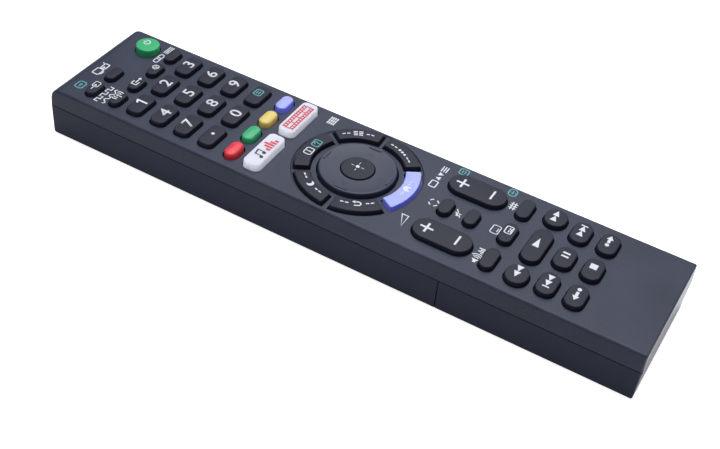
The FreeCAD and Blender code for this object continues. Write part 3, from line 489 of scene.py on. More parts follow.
def grain_group():
    """Moulded grain: fine noise is its height, and broad noise shifts its tone and gloss."""
    group, start, end = new_group(
        "Moulded grain",
        {"Colour": GREY, "Roughness": 0.5, "Grain": 3000.0, "Tone shift": 0.1,
         "Gloss shift": 0.1},
        ("Colour", "Roughness", "Height"),
    )
    fine = noise(group, start.outputs["Grain"])
    broad = maths(group, "SUBTRACT", noise(group, BROAD_FEATURES), 0.5)
    both = maths(group, "ADD", maths(group, "SUBTRACT", fine, 0.5), broad)
    tone = maths(group, "MULTIPLY", both, start.outputs["Tone shift"])
    gloss = maths(group, "MULTIPLY", broad, start.outputs["Gloss shift"])
    scale = group.nodes.new("ShaderNodeVectorMath")
    scale.operation = "SCALE"
    group.links.new(start.outputs["Colour"], scale.inputs[0])
    group.links.new(maths(group, "ADD", tone, 1.0), scale.inputs["Scale"])
    group.links.new(scale.outputs[0], end.inputs["Colour"])
    group.links.new(maths(group, "ADD", gloss, start.outputs["Roughness"]),
                    end.inputs["Roughness"])
    group.links.new(fine, end.inputs["Height"])


def end_group():
    """The polished end: one where y is less than the end's place, and nothing elsewhere."""
    group, start, end = new_group("Polished end", {"End": 0.0}, ("Mask",))
    place = group.nodes.new("ShaderNodeTexCoord")
    parts = group.nodes.new("ShaderNodeSeparateXYZ")
    group.links.new(place.outputs["Object"], parts.inputs[0])
    mask = maths(group, "LESS_THAN", parts.outputs["Y"], start.outputs["End"])
    group.links.new(mask, end.inputs["Mask"])


def facing_light_group():
    """Painted facing light: the top's colour where the surface faces up, and the side's elsewhere.
    This paints light and shade into the colour by facing.

    The top's share is the blend times what the attribute named up has over the side's limit.
    """
    group, start, end = new_group("Paler top", {"Top": GREY, "Side": GREY}, ("Colour",))
    up = group.nodes.new("ShaderNodeAttribute")
    up.attribute_name = "up"
    over = maths(group, "SUBTRACT", up.outputs["Fac"], SIDE_LIMIT)
    blend = group.nodes.new("ShaderNodeMix")
    blend.data_type = "RGBA"
    # A mix node's colours are its inputs 6 and 7 and its output 2
    group.links.new(maths(group, "MULTIPLY", over, SIDE_BLEND), blend.inputs[0])
    group.links.new(start.outputs["Side"], blend.inputs[6])
    group.links.new(start.outputs["Top"], blend.inputs[7])
    group.links.new(blend.outputs[2], end.inputs["Colour"])


def plastic(name, tint, roughness, grain=3200.0, tone=0.12, gloss=0.12, bump=0.12, coat=0.0,
            specular=0.5, glow=0.0):
    """A moulded plastic: the grain group feeds colour, roughness and a bump of its height.

    Glow is the share of the light that soaks in and leaves again within SOAK_DEPTH.
    """
    material = bpy.data.materials.new(name + "_finish")
    material.use_nodes = True
    tree = material.node_tree
    shader = tree.nodes["Principled BSDF"]
    group = placed_group(tree, "Moulded grain", {
        "Colour": (*tint, 1), "Roughness": roughness, "Grain": grain, "Tone shift": tone,
        "Gloss shift": gloss,
    })
    raised = tree.nodes.new("ShaderNodeBump")
    preset(raised, {"Strength": bump, "Distance": GRAIN_DEPTH})
    tree.links.new(group.outputs["Colour"], shader.inputs["Base Color"])
    tree.links.new(group.outputs["Roughness"], shader.inputs["Roughness"])
    tree.links.new(group.outputs["Height"], raised.inputs["Height"])
    tree.links.new(raised.outputs["Normal"], shader.inputs["Normal"])
    preset(shader, {
        "Coat Weight": coat, "Coat Roughness": COAT_ROUGHNESS, "Specular IOR Level": specular,
        "Subsurface Weight": glow, "Subsurface Radius": (1, 1, 1),
        "Subsurface Scale": SOAK_DEPTH,
    })
    return material


def metal(name, tint, roughness):
    """Plated metal with faint broad and fine changes of tone and gloss."""
    material = plastic(name, tint, roughness, tone=0.25, gloss=0.2)
    material.node_tree.nodes["Principled BSDF"].inputs["Metallic"].default_value = 1


def polish_end(material, reach):
    """Lay a clear coat on a shell's end, where its polished end mask is one."""
    tree = material.node_tree
    mask = placed_group(tree, "Polished end", {"End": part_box("top_case")[0].y + reach})
    tree.links.new(mask.outputs["Mask"], tree.nodes["Principled BSDF"].inputs["Coat Weight"])


def paint_facing_light_and_glow(material, top, side, painted_glow):
    """Paint light and shade into a key's colour by which way it faces, top against sides, and paint
    a faint glow into it by emission.
    """
    tree = material.node_tree
    shader = tree.nodes["Principled BSDF"]
    tint = placed_group(tree, "Paler top", {"Top": (*top, 1), "Side": (*side, 1)})
    tree.links.new(tint.outputs["Colour"], tree.nodes["Moulded grain"].inputs["Colour"])
    # Painted glow: the facing colours are also given out as emission, as if the key were lit from
    # within
    tree.links.new(tint.outputs["Colour"], shader.inputs["Emission Color"])
    shader.inputs["Emission Strength"].default_value = painted_glow


class REMOTE_OT_materials(bpy.types.Operator):
    """Make the shared shader groups and every finish"""

    bl_idname = "remote.materials"
    bl_label = "Finishes"

    def execute(self, context):
        grain_group()
        end_group()
        facing_light_group()
        tints = context.scene.remote_finishes
        shell = plastic("case_top", tints.case_top, 0.46, grain=2400.0, tone=0.9, bump=0.6,
                        specular=0.35)
        polish_end(shell, tints.polished)
        back = plastic("case_back", tints.case_back, 0.55, tone=0.5, bump=0.35, specular=0.3)
        polish_end(back, tints.polished)
        plastic("key_dark", tints.key_dark, 0.52, grain=4200.0, tone=0.4, bump=0.2, specular=0.3)
        plastic("pad_grey", tints.pad, 0.38, grain=4200.0, tone=0.3, bump=0.15, specular=0.35)
        white = plastic("key_white", tints.white, 0.45, tone=0.04, bump=0.1, glow=1.0)
        # Painted light: sides paler than the top, and a painted glow by emission
        paint_facing_light_and_glow(white, tints.white, tints.white_side_painted_glow, 0.3)
        plastic("key_power_green", tints.power, 0.38, tone=0.15, bump=0.1, glow=0.4)
        for name in ("red", "green", "yellow"):
            plastic("key_" + name, getattr(tints, name), 0.34, tone=0.1, bump=0.05, glow=0.9)
        lavender = plastic("key_lavender", tints.lavender, 0.36, tone=0.08, bump=0.08, glow=0.9)
        # Painted light: a top paler than its sides, a painted sheen, and a faint painted glow by
        # emission
        paint_facing_light_and_glow(lavender, tints.lavender, tints.lavender_side, 0.14)
        # Inks of the printed signs; the shade ink is a painted shadow on the pad's arrows
        for name in ("white", "teal", "red", "dark", "pale", "shade"):
            tint = getattr(tints, "print_" + name)
            plastic("print_" + name, tint, 0.55, grain=9000.0, tone=0.1, bump=0.1)
        plastic("mat_rubber", tints.rubber, 0.8, tone=0.3)
        plastic("board_mask", tints.mask, 0.3, grain=900.0, tone=0.5, coat=0.6)
        plastic("part_black", tints.parts, 0.45, tone=0.3)
        plastic("lamp_lens", tints.lens, 0.12, bump=0.0, coat=1.0)
        plastic("cell_sleeve", tints.sleeve, 0.3, tone=0.2, coat=0.5)
        metal("cell_band", tints.band, 0.3)
        metal("contact_steel", tints.steel, 0.28)
        return {"FINISHED"}


class REMOTE_OT_case(bpy.types.Operator):
    """Dress the two shells and the battery door"""

    bl_idname = "remote.case"
    bl_label = "Case"

    def execute(self, context):
        smooth_copy("top_case", "root", "case_top")
        smooth_copy("bottom_case", "root", "case_back")
        smooth_copy("battery_door", "battery_door", "case_back")
        return {"FINISHED"}


class REMOTE_OT_inside(bpy.types.Operator):
    """Dress the mat, the board and its parts, the pad's web and the lamp"""

    bl_idname = "remote.inside"
    bl_label = "Inside"

    def execute(self, context):
        for node, look in (("keypad_mat", "mat_rubber"), ("circuit_board", "board_mask"),
                           ("board_parts", "part_black"), ("direction_web", "part_black")):
            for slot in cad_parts[node].material_slots:
                slot.material = finish(look)
        smooth_copy("signal_lamp", "root", "lamp_lens")
        return {"FINISHED"}


def cell_parts(radius, sizes):
    """A cell's bottom, raised end, sleeve and band, as profiles turned about its own axis.

    Both ends of the can are turned over by quarter circles of the edge radius. The sleeve and
    the band meet at the band's start and end half an edge under the can's face.
    """
    edge = sizes.cell_edge
    can = sizes.cell - sizes.nub_rise
    inner, under = radius - edge, radius - edge / 2
    start = can * sizes.band
    turn = quarter_turn(5)
    foot = np.stack([inner + edge * np.sin(turn), edge * (1 - np.cos(turn))], axis=-1)
    head = np.stack([inner + edge * np.cos(turn), can - edge * (1 - np.sin(turn))], axis=-1)
    return [ring_surface(profile, 64) for profile in (
        [(0, 0), (inner, 0), *foot[1:], (under, edge)],
        [(under, can - edge), (inner, can), (sizes.nub, can), (sizes.nub, sizes.cell),
         (0, sizes.cell)],
        [(under, edge / 2), (radius, edge), (radius, start), (under, start)],
        [(under, start), (radius, start), *head, (inner - edge, can)],
    )]


class REMOTE_OT_cells(bpy.types.Operator):
    """Make the two cells, with a band and a raised end, and their springs and plates"""

    bl_idname = "remote.cells"
    bl_label = "Cells and contacts"

    def execute(self, context):
        sizes = context.scene.remote_cells
        low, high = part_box("battery_cells")
        contact_low, contact_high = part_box("battery_contacts")
        radius = (high.z - low.z) / 2
        side = high.x - radius
        z = (low.z + high.z) / 2
        foot, nub, sleeve, band = cell_parts(radius, sizes)
        spring = coil(sizes.spring_base - sizes.wire, sizes.spring_tip - sizes.wire,
                      sizes.spring, sizes.wire, sizes.turns)
        half = contact_high.x - side
        plate = slab(half, half, sizes.cell_edge, 0, sizes.plate, 5)
        sleeves, bands, ends, contacts = [], [], [], []
        for x, start, way in ((-side, high.y - sizes.cell, 1), (side, low.y + sizes.cell, -1)):
            near, far = (contact_low.y, contact_high.y)[::way]
            for grids, part, y, facing in (
                (ends, foot, start, way), (ends, nub, start, way),
                (sleeves, sleeve, start, way), (bands, band, start, way),
                (contacts, spring, near, way), (contacts, plate, far, -way),
            ):
                grids.append(laid(part, x, y, z, facing))
        surface("cell_sleeves", sleeves, "root", "cell_sleeve", "battery_cells")
        surface("cell_bands", bands, "root", "cell_sleeve", look="cell_band")
        surface("cell_ends", ends, "root", "contact_steel")
        surface("cell_contacts", contacts, "root", "contact_steel", "battery_contacts")
        return {"FINISHED"}


def key_place(node, reach_x, reach_y):
    """Centre, half sizes, base and top of a key's cap, from its CAD box less its flange."""
    low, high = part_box(node)
    return (
        (low.x + high.x) / 2, (low.y + high.y) / 2,
        (high.x - low.x) / 2 - reach_x, (high.y - low.y) / 2 - reach_y, low.z, high.z,
    )


def cap_piece(node, grids, slot):
    """The cap that stands for a key's CAD node and rides on its body."""
    surface(node + "_cap", grids, node, slot, node)


def key_cap(node, corner, slot, domed=False, drop=0.0):
    """A cap with rounded corners and its flange; a corner of None gives round ends."""
    keys = bpy.context.scene.remote_keys
    reach_x = keys.near_flange if domed else keys.flange
    x, y, half_x, half_y, low, top = key_place(node, reach_x, keys.flange)
    half_y -= keys.dome_inset if domed else 0
    corner = min(half_x, half_y) if corner is None else corner
    edge = keys.dome_edge if domed else keys.edge
    crown = keys.dome_crown if domed else keys.crown
    profile = cap_profile(low, top - drop, reach_x, keys.flange_height, keys.draft, edge, crown)
    cap_piece(node, [moved(rounded_rings(half_x, half_y, corner, *profile), x, y)], slot)


class REMOTE_OT_keys(bpy.types.Operator):
    """Make the caps of the sprung keys, apart from the arc keys"""

    bl_idname = "remote.keys"
    bl_label = "Keys"

    def execute(self, context):
        keys = context.scene.remote_keys
        for corner, slot, names in (
            (None, "key_dark", ("source", "broadcast", "antenna", "exit", "depth", "link", "jump",
                                "mute", "audio", "subtitle", "shape", "play", "rewind",
                                "forward")),
            (keys.number_corner, "key_dark", (*"1234567890", "dot", "page")),
            (keys.skip_corner, "key_dark", ("previous", "pause", "next", "step_back", "stop",
                                            "step_forward")),
            (keys.wide_corner, "key_white", ("music", "film")),
        ):
            for name in names:
                key_cap("key_" + name, corner, slot)
        for name, slot in (("red", "key_red"), ("green", "key_green"),
                           ("yellow", "key_yellow"), ("blue", "key_lavender")):
            key_cap("key_" + name, None, slot, domed=True)
        key_cap("key_power", None, "key_power_green", drop=2 * context.scene.remote_signs.lift)
        return {"FINISHED"}


class REMOTE_OT_rockers(bpy.types.Operator):
    """Make the two rockers with their tabs and ribs"""

    bl_idname = "remote.rockers"
    bl_label = "Rockers"

    def execute(self, context):
        keys = context.scene.remote_keys
        for node in ("rocker_volume", "rocker_channel"):
            x, y, half_x, half_y, low, top = key_place(node, keys.flange, 0)
            base = low + keys.rocker_base
            profile = cap_profile(base, top, 0, keys.flange_height, keys.draft, keys.edge,
                                  keys.crown)
            grids = (
                rounded_rings(half_x, half_y, half_x, *profile, steps=13),
                slab(half_x + keys.flange, keys.rocker_tab / 2, keys.draft, base,
                     base + keys.flange_height, 3),
                slab(half_x / 2, keys.flange / 2, keys.draft, low, base, 3),
            )
            cap_piece(node, [moved(grid, x, y) for grid in grids], "key_dark")
        return {"FINISHED"}


class REMOTE_OT_arcs(bpy.types.Operator):
    """Make the six arc keys: a rounded bar on the plane, bent round the pad"""

    bl_idname = "remote.arcs"
    bl_label = "Arc keys"

    def execute(self, context):
        keys, pad = context.scene.remote_keys, context.scene.remote_pad
        radius = (pad.arc_inner + pad.arc_outer) / 2
        half_turn, side = math.pi, pad.short_place
        for name, middle, span, slot in (
            ("info", half_turn / 2, pad.long_arc, "key_dark"),
            ("home", -half_turn / 2, pad.long_arc, "key_lavender"),
            ("guide", side, pad.short_arc, "key_dark"),
            ("options", -side, pad.short_arc, "key_dark"),
            ("sleep", half_turn - side, pad.short_arc, "key_dark"),
            ("return", half_turn + side, pad.short_arc, "key_dark"),
        ):
            node = "key_" + name
            low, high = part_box(node)
            profile = cap_profile(low.z, high.z, pad.arc_flange, keys.flange_height, keys.draft,
                                  keys.edge, keys.crown)
            rings = rounded_rings(radius * span / 2, (pad.arc_outer - pad.arc_inner) / 2,
                                  pad.arc_corner, *profile, spans=22, steps=6)
            cap_piece(node, [bent(rings, radius, middle)], slot)
        return {"FINISHED"}


def dish_height(reach, crest, top, pad):
    """Height of the pad's dish: it falls from the crest to the bore and levels off there."""
    inward = (crest - reach) / (crest - pad.bore)
    return top - pad.bore_drop * (1 - (1 - inward) ** 2)


class REMOTE_OT_pad(bpy.types.Operator):
    """Make the dished direction ring with its ridges and its four arrows in a painted shade, and
    the select key
    """

    bl_idname = "remote.pad"
    bl_label = "Direction pad"

    def execute(self, context):
        scene = context.scene
        keys, pad, signs = scene.remote_keys, scene.remote_pad, scene.remote_signs
        low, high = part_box("direction_ring")
        outer = (high.x - low.x) / 2
        top = high.z - pad.ridge_rise
        crest = outer - pad.rim
        turn = quarter_turn(9)
        wall = np.stack([outer - pad.rim * (1 - np.cos(turn)),
                         top - pad.rim * (1 - np.sin(turn))], axis=-1)
        reach = np.linspace(crest, pad.bore, 16)[1:]
        dish = np.stack([reach, dish_height(reach, crest, top, pad)], axis=-1)
        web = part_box("direction_web")[1]
        pocket, ceiling = web.x + pad.pocket_gap, web.z + pad.pocket_room
        rings = ring_surface([(outer, low.z), *wall, *dish, (pad.bore, ceiling),
                              (pocket, ceiling), (pocket, low.z), (outer, low.z)])
        grids = [moved(rings, 0, RING_Y)]
        ridge = slab(pad.ridge_length / 2, pad.ridge_width / 2, pad.ridge_width / 4,
                     top - pad.rim, high.z, 4, keys.draft / 2)
        ridge = moved(ridge, 0, outer - pad.ridge_margin - pad.ridge_width / 2)
        # The moulded arrows are drawn as flat prints in a dark ink: a painted shadow for the shade
        # they catch
        mark, polygons = stroke([(-0.75, -0.45), (0, 0.6), (0.75, -0.45)], 0.3, True)
        mark = np.pad(mark * MM, ((0, 0), (0, 1))) + (0, pad.mark, 0)
        mark[:, 2] = dish_height(np.hypot(mark[:, 0], mark[:, 1]), crest, top, pad) + signs.lift
        for quarter in range(4):
            facing = quarter * math.pi / 2
            grids.append(moved(ridge, 0, RING_Y, facing))
            mesh = bpy.data.meshes.new("pad_arrow_%d" % quarter)
            mesh.from_pydata(moved(mark, 0, RING_Y, facing).tolist(), [], polygons)
            inked(mesh, "shade", "direction_ring")
        surface("direction_ring_dish", grids, "direction_ring", "pad_grey", "direction_ring")

        low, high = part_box("key_select")
        radius = (high.x - low.x) / 2 - keys.flange
        profile = cap_profile(low.z, high.z, keys.flange, pad.tab, 0, keys.edge, 0)
        rings = rounded_rings(radius, radius, radius, *profile, steps=17)
        cap_piece("key_select", [moved(rings, 0, RING_Y)], "key_dark")
        return {"FINISHED"}


def circle(x, y, radius, start=0, end=360, count=33):
    """Points along an arc about a centre, by its angles in degrees."""
    turn = np.radians(np.linspace(start, end, count))
    return np.stack([x + radius * np.cos(turn), y + radius * np.sin(turn)], axis=-1)


def stroke(points, width, closed=False):
    """A flat band along a path: each point moves both ways along its mitre by half the width."""
    path = np.asarray(points, float)
    if closed:
        path = np.concatenate([path, path[:1]])
    path = path[np.append(True, np.abs(np.diff(path, axis=0)).sum(axis=1) > MERGE)]
    run = np.diff(path, axis=0)
    side = np.stack([-run[:, 1], run[:, 0]], axis=-1) / np.linalg.norm(run, axis=1)[:, None]
    before = np.concatenate([side[-1:] if closed else side[:1], side])
    after = np.concatenate([side, side[:1] if closed else side[-1:]])
    mitre = before + after
    mitre = mitre / np.maximum((mitre * after).sum(axis=1), 0.5)[:, None] * width / 2
    index = np.arange(len(path) - 1)
    right = index + len(path)
    quads = np.stack([right, right + 1, index + 1, index], axis=-1)
    return np.concatenate([path + mitre, path - mitre]), quads.tolist()


def patch(points, x=0.0, y=0.0):
    """A filled shape inside a closed path that runs anticlockwise, moved in the plane."""
    return np.asarray(points, float) + (x, y), [list(range(len(points)))]


def outline(width, height, corner, ink, x=0.0, y=0.0):
    """The outline of a rounded rectangle about its middle."""
    rings = rounded_rings(width / 2, height / 2, corner, (0,), (1,), (0,), steps=5)
    return stroke(rings[0, :, :2] + (x, y), ink, True)


def arrow(x, y, reach, height, facing=1):
    """A filled arrow head from its base at x, that points along x or back along it."""
    half = height / 2
    return patch([(0, -half), (facing * reach, 0), (0, half)][::facing], x, y)


def arrows(places, y, reach, facing=1):
    """Arrow heads of the playing keys at several places along x."""
    return [arrow(x, y, reach, 2.1, facing) for x in places]


def bar(x, y, width, height):
    """A filled upright block about its middle."""
    a, b = width / 2, height / 2
    return patch([(-a, -b), (a, -b), (a, b), (-a, b)], x, y)


def bars(places, width, height):
    """Like blocks at several places."""
    return [bar(x, y, width, height) for x, y in places]


def levels(start, step, floor, width, rises):
    """Blocks side by side that stand on a floor and rise by their own heights."""
    return [bar(start + step * index, floor + rise / 2, width, rise)
            for index, rise in enumerate(rises)]


def plus(x, y, reach, width):
    """A cross with arms along both axes."""
    a, b = reach / 2, width / 2
    return patch([(-b, -a), (b, -a), (b, -b), (a, -b), (a, b), (b, b),
                  (b, a), (-b, a), (-b, b), (-a, b), (-a, -b), (-b, -b)], x, y)


def dot(x, y, radius):
    """A filled round spot."""
    return patch(circle(x, y, radius, count=21)[:-1])


def speaker(x):
    """A filled loudspeaker that faces along x."""
    return patch([(-1.1, -0.45), (-0.5, -0.45), (0.3, -1.1), (0.3, 1.1), (-0.5, 0.45),
                  (-1.1, 0.45)], x)


def moon():
    """A crescent: a large arc, and a smaller one back inside it."""
    return patch(np.concatenate([
        circle(0, 0, 1.15, 50, 310, 25), circle(0.78, 0, 0.882, 267, 93, 19)[1:-1],
    ]))


def inked(mesh, ink, body):
    """A flat mesh that faces up, as a printed piece with the thickness of its ink."""
    piece = piece_of(mesh, "print_" + ink, body)
    solid = piece.modifiers.new("Ink", "SOLIDIFY")
    solid.thickness = bpy.context.scene.remote_signs.ink
    solid.offset = -1


def sign(name, shapes, ink, body, x, y, z, bend=None):
    """Flat printed shapes in millimetres, put in place or bent round the pad, with their ink."""
    faces = []
    start = 0
    for points, polygons in shapes:
        faces.extend([[corner + start for corner in polygon] for polygon in polygons])
        start += len(points)
    flat = np.concatenate([points for points, polygons in shapes]) * MM
    flat = np.concatenate([flat, np.full((len(flat), 1), z)], axis=1)
    flat = bent(flat, *bend) if bend else moved(flat, x, y)
    mesh = bpy.data.meshes.new(name)
    mesh.from_pydata(flat.tolist(), [], faces)
    inked(mesh, ink, body)


def top_of(node):
    """The middle of a key's top."""
    low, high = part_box(node)
    return (low.x + high.x) / 2, (low.y + high.y) / 2, high.z


def key_sign(name, shapes, ink, node, x=0.0, y=0.0):
    """A sign about a point that lies x and y millimetres from the middle of a key's top.

    The power key's cap is lower than its solid, so its sign needs no lift.
    """
    middle_x, middle_y, top = top_of(node)
    lift = 0 if node == "key_power" else bpy.context.scene.remote_signs.lift
    sign("sign_" + name, shapes, ink, node, middle_x + x * MM, middle_y + y * MM, top + lift)


def digit(text, signs):
    """A number in the plain built-in face, made a mesh and then put on its key."""
    name, node = "sign_" + text, "key_" + text
    letters = bpy.data.curves.new(name, "FONT")
    letters.body = text
    letters.size = 1
    # The face is a little too thin, so it is set out by this share of its size
    letters.offset = 0.014
    letters.resolution_u = 5
    stand_in = bpy.data.objects.new(name, letters)
    mesh = bpy.data.meshes.new_from_object(stand_in)
    bpy.data.objects.remove(stand_in)
    places = vertex_places(mesh)
    low, high = places.min(axis=0), places.max(axis=0)
    scale = signs.digit / (high[1] - low[1])
    x, y, top = top_of(node)
    middle = np.array([x + signs.digit_x, y + signs.digit_y, top + signs.lift])
    places = (places - (low + high) / 2) * scale * np.array([signs.widen, 1, 1]) + middle
    mesh.vertices.foreach_set("co", places.ravel())
    mesh.name = name
    inked(mesh, "white", node)


def white_signs():
    """The shapes of each key's own white sign, in millimetres about the middle of its top."""
    bolt = [(0.05, -2.0), (0.72, -2.0), (0.72, 2.0), (0.15, 2.0), (-1.0, 1.35), (-1.0, 0.7),
            (0.05, 1.15)]
    rocker = [plus(0, 5.1, 4.2, 0.7), bar(0.2, -4.75, 4.2, 0.64)]
    return {
        "1": [patch(bolt, 0.45, 0.25)],
        "dot": [dot(0.5, 0.1, 0.55)],
        "play": arrows([-1.1], 0.3, 4.1),
        "rewind": arrows([0.85, 3.3], 0.2, 2.45, -1),
        "forward": arrows([-1.9, 0.55], 0.4, 2.45),
        "previous": [bar(-1.75, 0.05, 0.5, 2.1)] + arrows([0.9, 3.25], 0.05, 2.35, -1),
        "next": [bar(2.95, 0.15, 0.5, 2.1)] + arrows([-1.9, 0.45], 0.15, 2.35),
        "pause": bars([(0.05, 0.15), (1.55, 0.15)], 0.68, 2.2),
        "stop": [bar(0.9, 0.2, 2.2, 2.2)],
        "step_back": arrows([-0.4], 0.1, 1.7, -1) + [bar(0.5, 0.1, 1.8, 0.9), dot(2.5, 0.1, 0.65)],
        "step_forward": arrows([1.7], 0.4, 1.7) + [bar(0.9, 0.4, 1.6, 0.9), dot(-0.9, 0.4, 0.65)],
        "source": [outline(2.6, 2.0, 0.5, 0.3, 1.4, 0.35),
                   stroke([(-1.5, 0.35), (0.7, 0.35)], 0.32), arrow(0.7, 0.35, 0.8, 1.1)],
        "exit": [stroke([(0.5, 1.35), (-1.3, 1.35), (-1.3, -0.55), (0.5, -0.55)], 0.36),
                 bar(0.8, 0.4, 2.3, 0.4), arrow(1.9, 0.4, 1.0, 1.4)],
        "antenna": [bar(0.7, -0.1, 0.4, 1.6), dot(0.7, 0.75, 0.42)] + [
            stroke(circle(0.7, 0.75, reach, middle - half, middle + half, 9), 0.34)
            for reach, half in ((1.15, 42), (1.95, 32)) for middle in (0, 180)
        ],
        "depth": [stroke([(-0.3, -0.25), (0.7, -0.8), (1.7, -0.25), (1.7, 0.85), (0.7, 1.4),
                          (-0.3, 0.85)], 0.32, True),
                  stroke([(-0.3, 0.85), (0.7, 0.3), (1.7, 0.85)], 0.3),
                  stroke([(0.7, 0.3), (0.7, -0.8)], 0.3)],
        "subtitle": [outline(3.2, 2.1, 0.5, 0.36, 0.9, 0.2), bar(0.35, 0.1, 0.9, 0.36),
                     bar(1.55, 0.1, 0.7, 0.36), bar(0.9, -0.45, 1.7, 0.3)],
        "select": [dot(0.5, 0.35, 0.62)] + [
            patch([(x, y), (1.7 * x, 1.7 * y), (2.35 * x, 2.35 * y),
                   (1.7 * x - 0.26 * y, 1.7 * y + 0.26 * x)], 0.5, 0.35)
            for x, y in ((1, 0), (0, 1), (-1, 0), (0, -1))
        ],
        "rocker_volume": rocker,
        "rocker_channel": rocker,
    }


def arc_signs():
    """Each arc key's sign: its radius, its angle, whether its top faces inwards, its shapes."""
    ends = bars([(x, 0) for x in (-4.6, -3.1, 3.1, 4.6)], 1.0, 0.45)
    rows = bars([(x, y) for x in (-0.85, 0.85) for y in (-0.8, 0, 0.8)], 1.3, 0.42)
    house = [(-1.15, -1.15), (-0.32, -1.15), (-0.32, -0.35), (0.32, -0.35), (0.32, -1.15),
             (1.15, -1.15), (1.15, 0.15), (1.5, 0.15), (0, 1.35), (-1.5, 0.15), (-1.15, 0.15)]
    back = [stroke([(-0.7, 0.72), *circle(0.35, -0.05, 0.77, 90, -90, 13), (-0.9, -0.82)], 0.42),
            arrow(-0.6, 0.72, 0.95, 1.3, -1)]
    return {
        "sleep": (16.5, 150.4, False, [moon()] + ends),
        "guide": (17.1, 29.1, False, rows + ends),
        "return": (16.3, 209.0, True, back + ends),
        "options": (16.5, -27.3, True, [dot(x, 0, 0.45) for x in (-1.3, 0, 1.3)] + ends),
        "home": (16.8, -89.2, True, [patch(house)] + bars(
            [(x, 0) for x in (-3.3, -2.1, 2.1, 3.3)], 0.8, 0.42)),
    }


def tinted_signs():
    """Signs that aren't plain white or that share their key: name, key, ink, place, shapes."""
    switch = [stroke(circle(0, 0, 1.1, 128, 412), 0.34), bar(0, 0.8, 0.34, 1.3)]
    card = [outline(3.1, 2.5, 0.6, 0.34)]
    note = [dot(-1.15, -1.2, 0.62), dot(0.95, -0.85, 0.62), bar(-0.7, 0.1, 0.34, 2.7),
            bar(1.4, 0.4, 0.34, 2.6),
            patch([(-0.87, 0.95), (1.57, 1.3), (1.57, 1.8), (-0.87, 1.45)])]
    meter = levels(-2.4, 1.2, -1.7, 0.8, (1.5, 2.8, 3.5, 2.2, 1.2))
    holes = [(-6.1 + 1.22 * step, y) for step in range(11) for y in (-1.2, 1.2)]
    strip = (
        bars([(0, 1.72), (0, -1.72)], 13.2, 0.4) + bars([(0, 0.68), (0, -0.68)], 13.2, 0.34)
        + bars(holes, 0.5, 0.72) + bars([(x, 0) for x in (-6.4, -3.2, 0, 3.2, 6.4)], 0.36, 1.1)
    )
    lines = bars([(0, 0.45), (0, -0.4)], 1.7, 0.34)
    letter = [dot(0, 0.65, 0.24), bar(0, -0.3, 0.4, 1.1)]
    hook = [stroke(circle(0, 0.35, 0.5, 190, -60, 13), 0.32), bar(0.2, -0.35, 0.32, 0.4),
            dot(0.2, -0.85, 0.2)]
    return (
        ("switch", "power", "pale", 0.8, 0.9, switch),
        ("page", "page", "teal", 1.0, 0.35, card + lines),
        ("note", "music", "dark", -2.6, -0.1, note),
        ("levels", "music", "red", 2.8, -0.1, meter),
        ("strip", "film", "red", -0.3, -0.1, strip),
        ("letter", "info", "white", -1.6, 0.45, card + letter),
        ("hook", "info", "teal", 3.0, 0.4, card + hook),
    )


class REMOTE_OT_key_signs(bpy.types.Operator):
    """Print the numbers and signs on the keys"""

    bl_idname = "remote.key_signs"
    bl_label = "Signs on keys"

    def execute(self, context):
        signs = context.scene.remote_signs
        for text in "234567890":
            digit(text, signs)
        for name, shapes in white_signs().items():
            key_sign(name, shapes, "white", name if "rocker" in name else "key_" + name)
        for name, (reach, middle, inward, shapes) in arc_signs().items():
            node = "key_" + name
            if inward:
                shapes = [(-points, polygons) for points, polygons in shapes]
            sign("sign_" + name, shapes, "pale" if name == "home" else "white", node, 0, 0,
                 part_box(node)[1].z + signs.lift, bend=(reach * MM, math.radians(middle)))
        for name, key, ink, x, y, shapes in tinted_signs():
            key_sign(name, shapes, ink, "key_" + key, x, y)
        return {"FINISHED"}


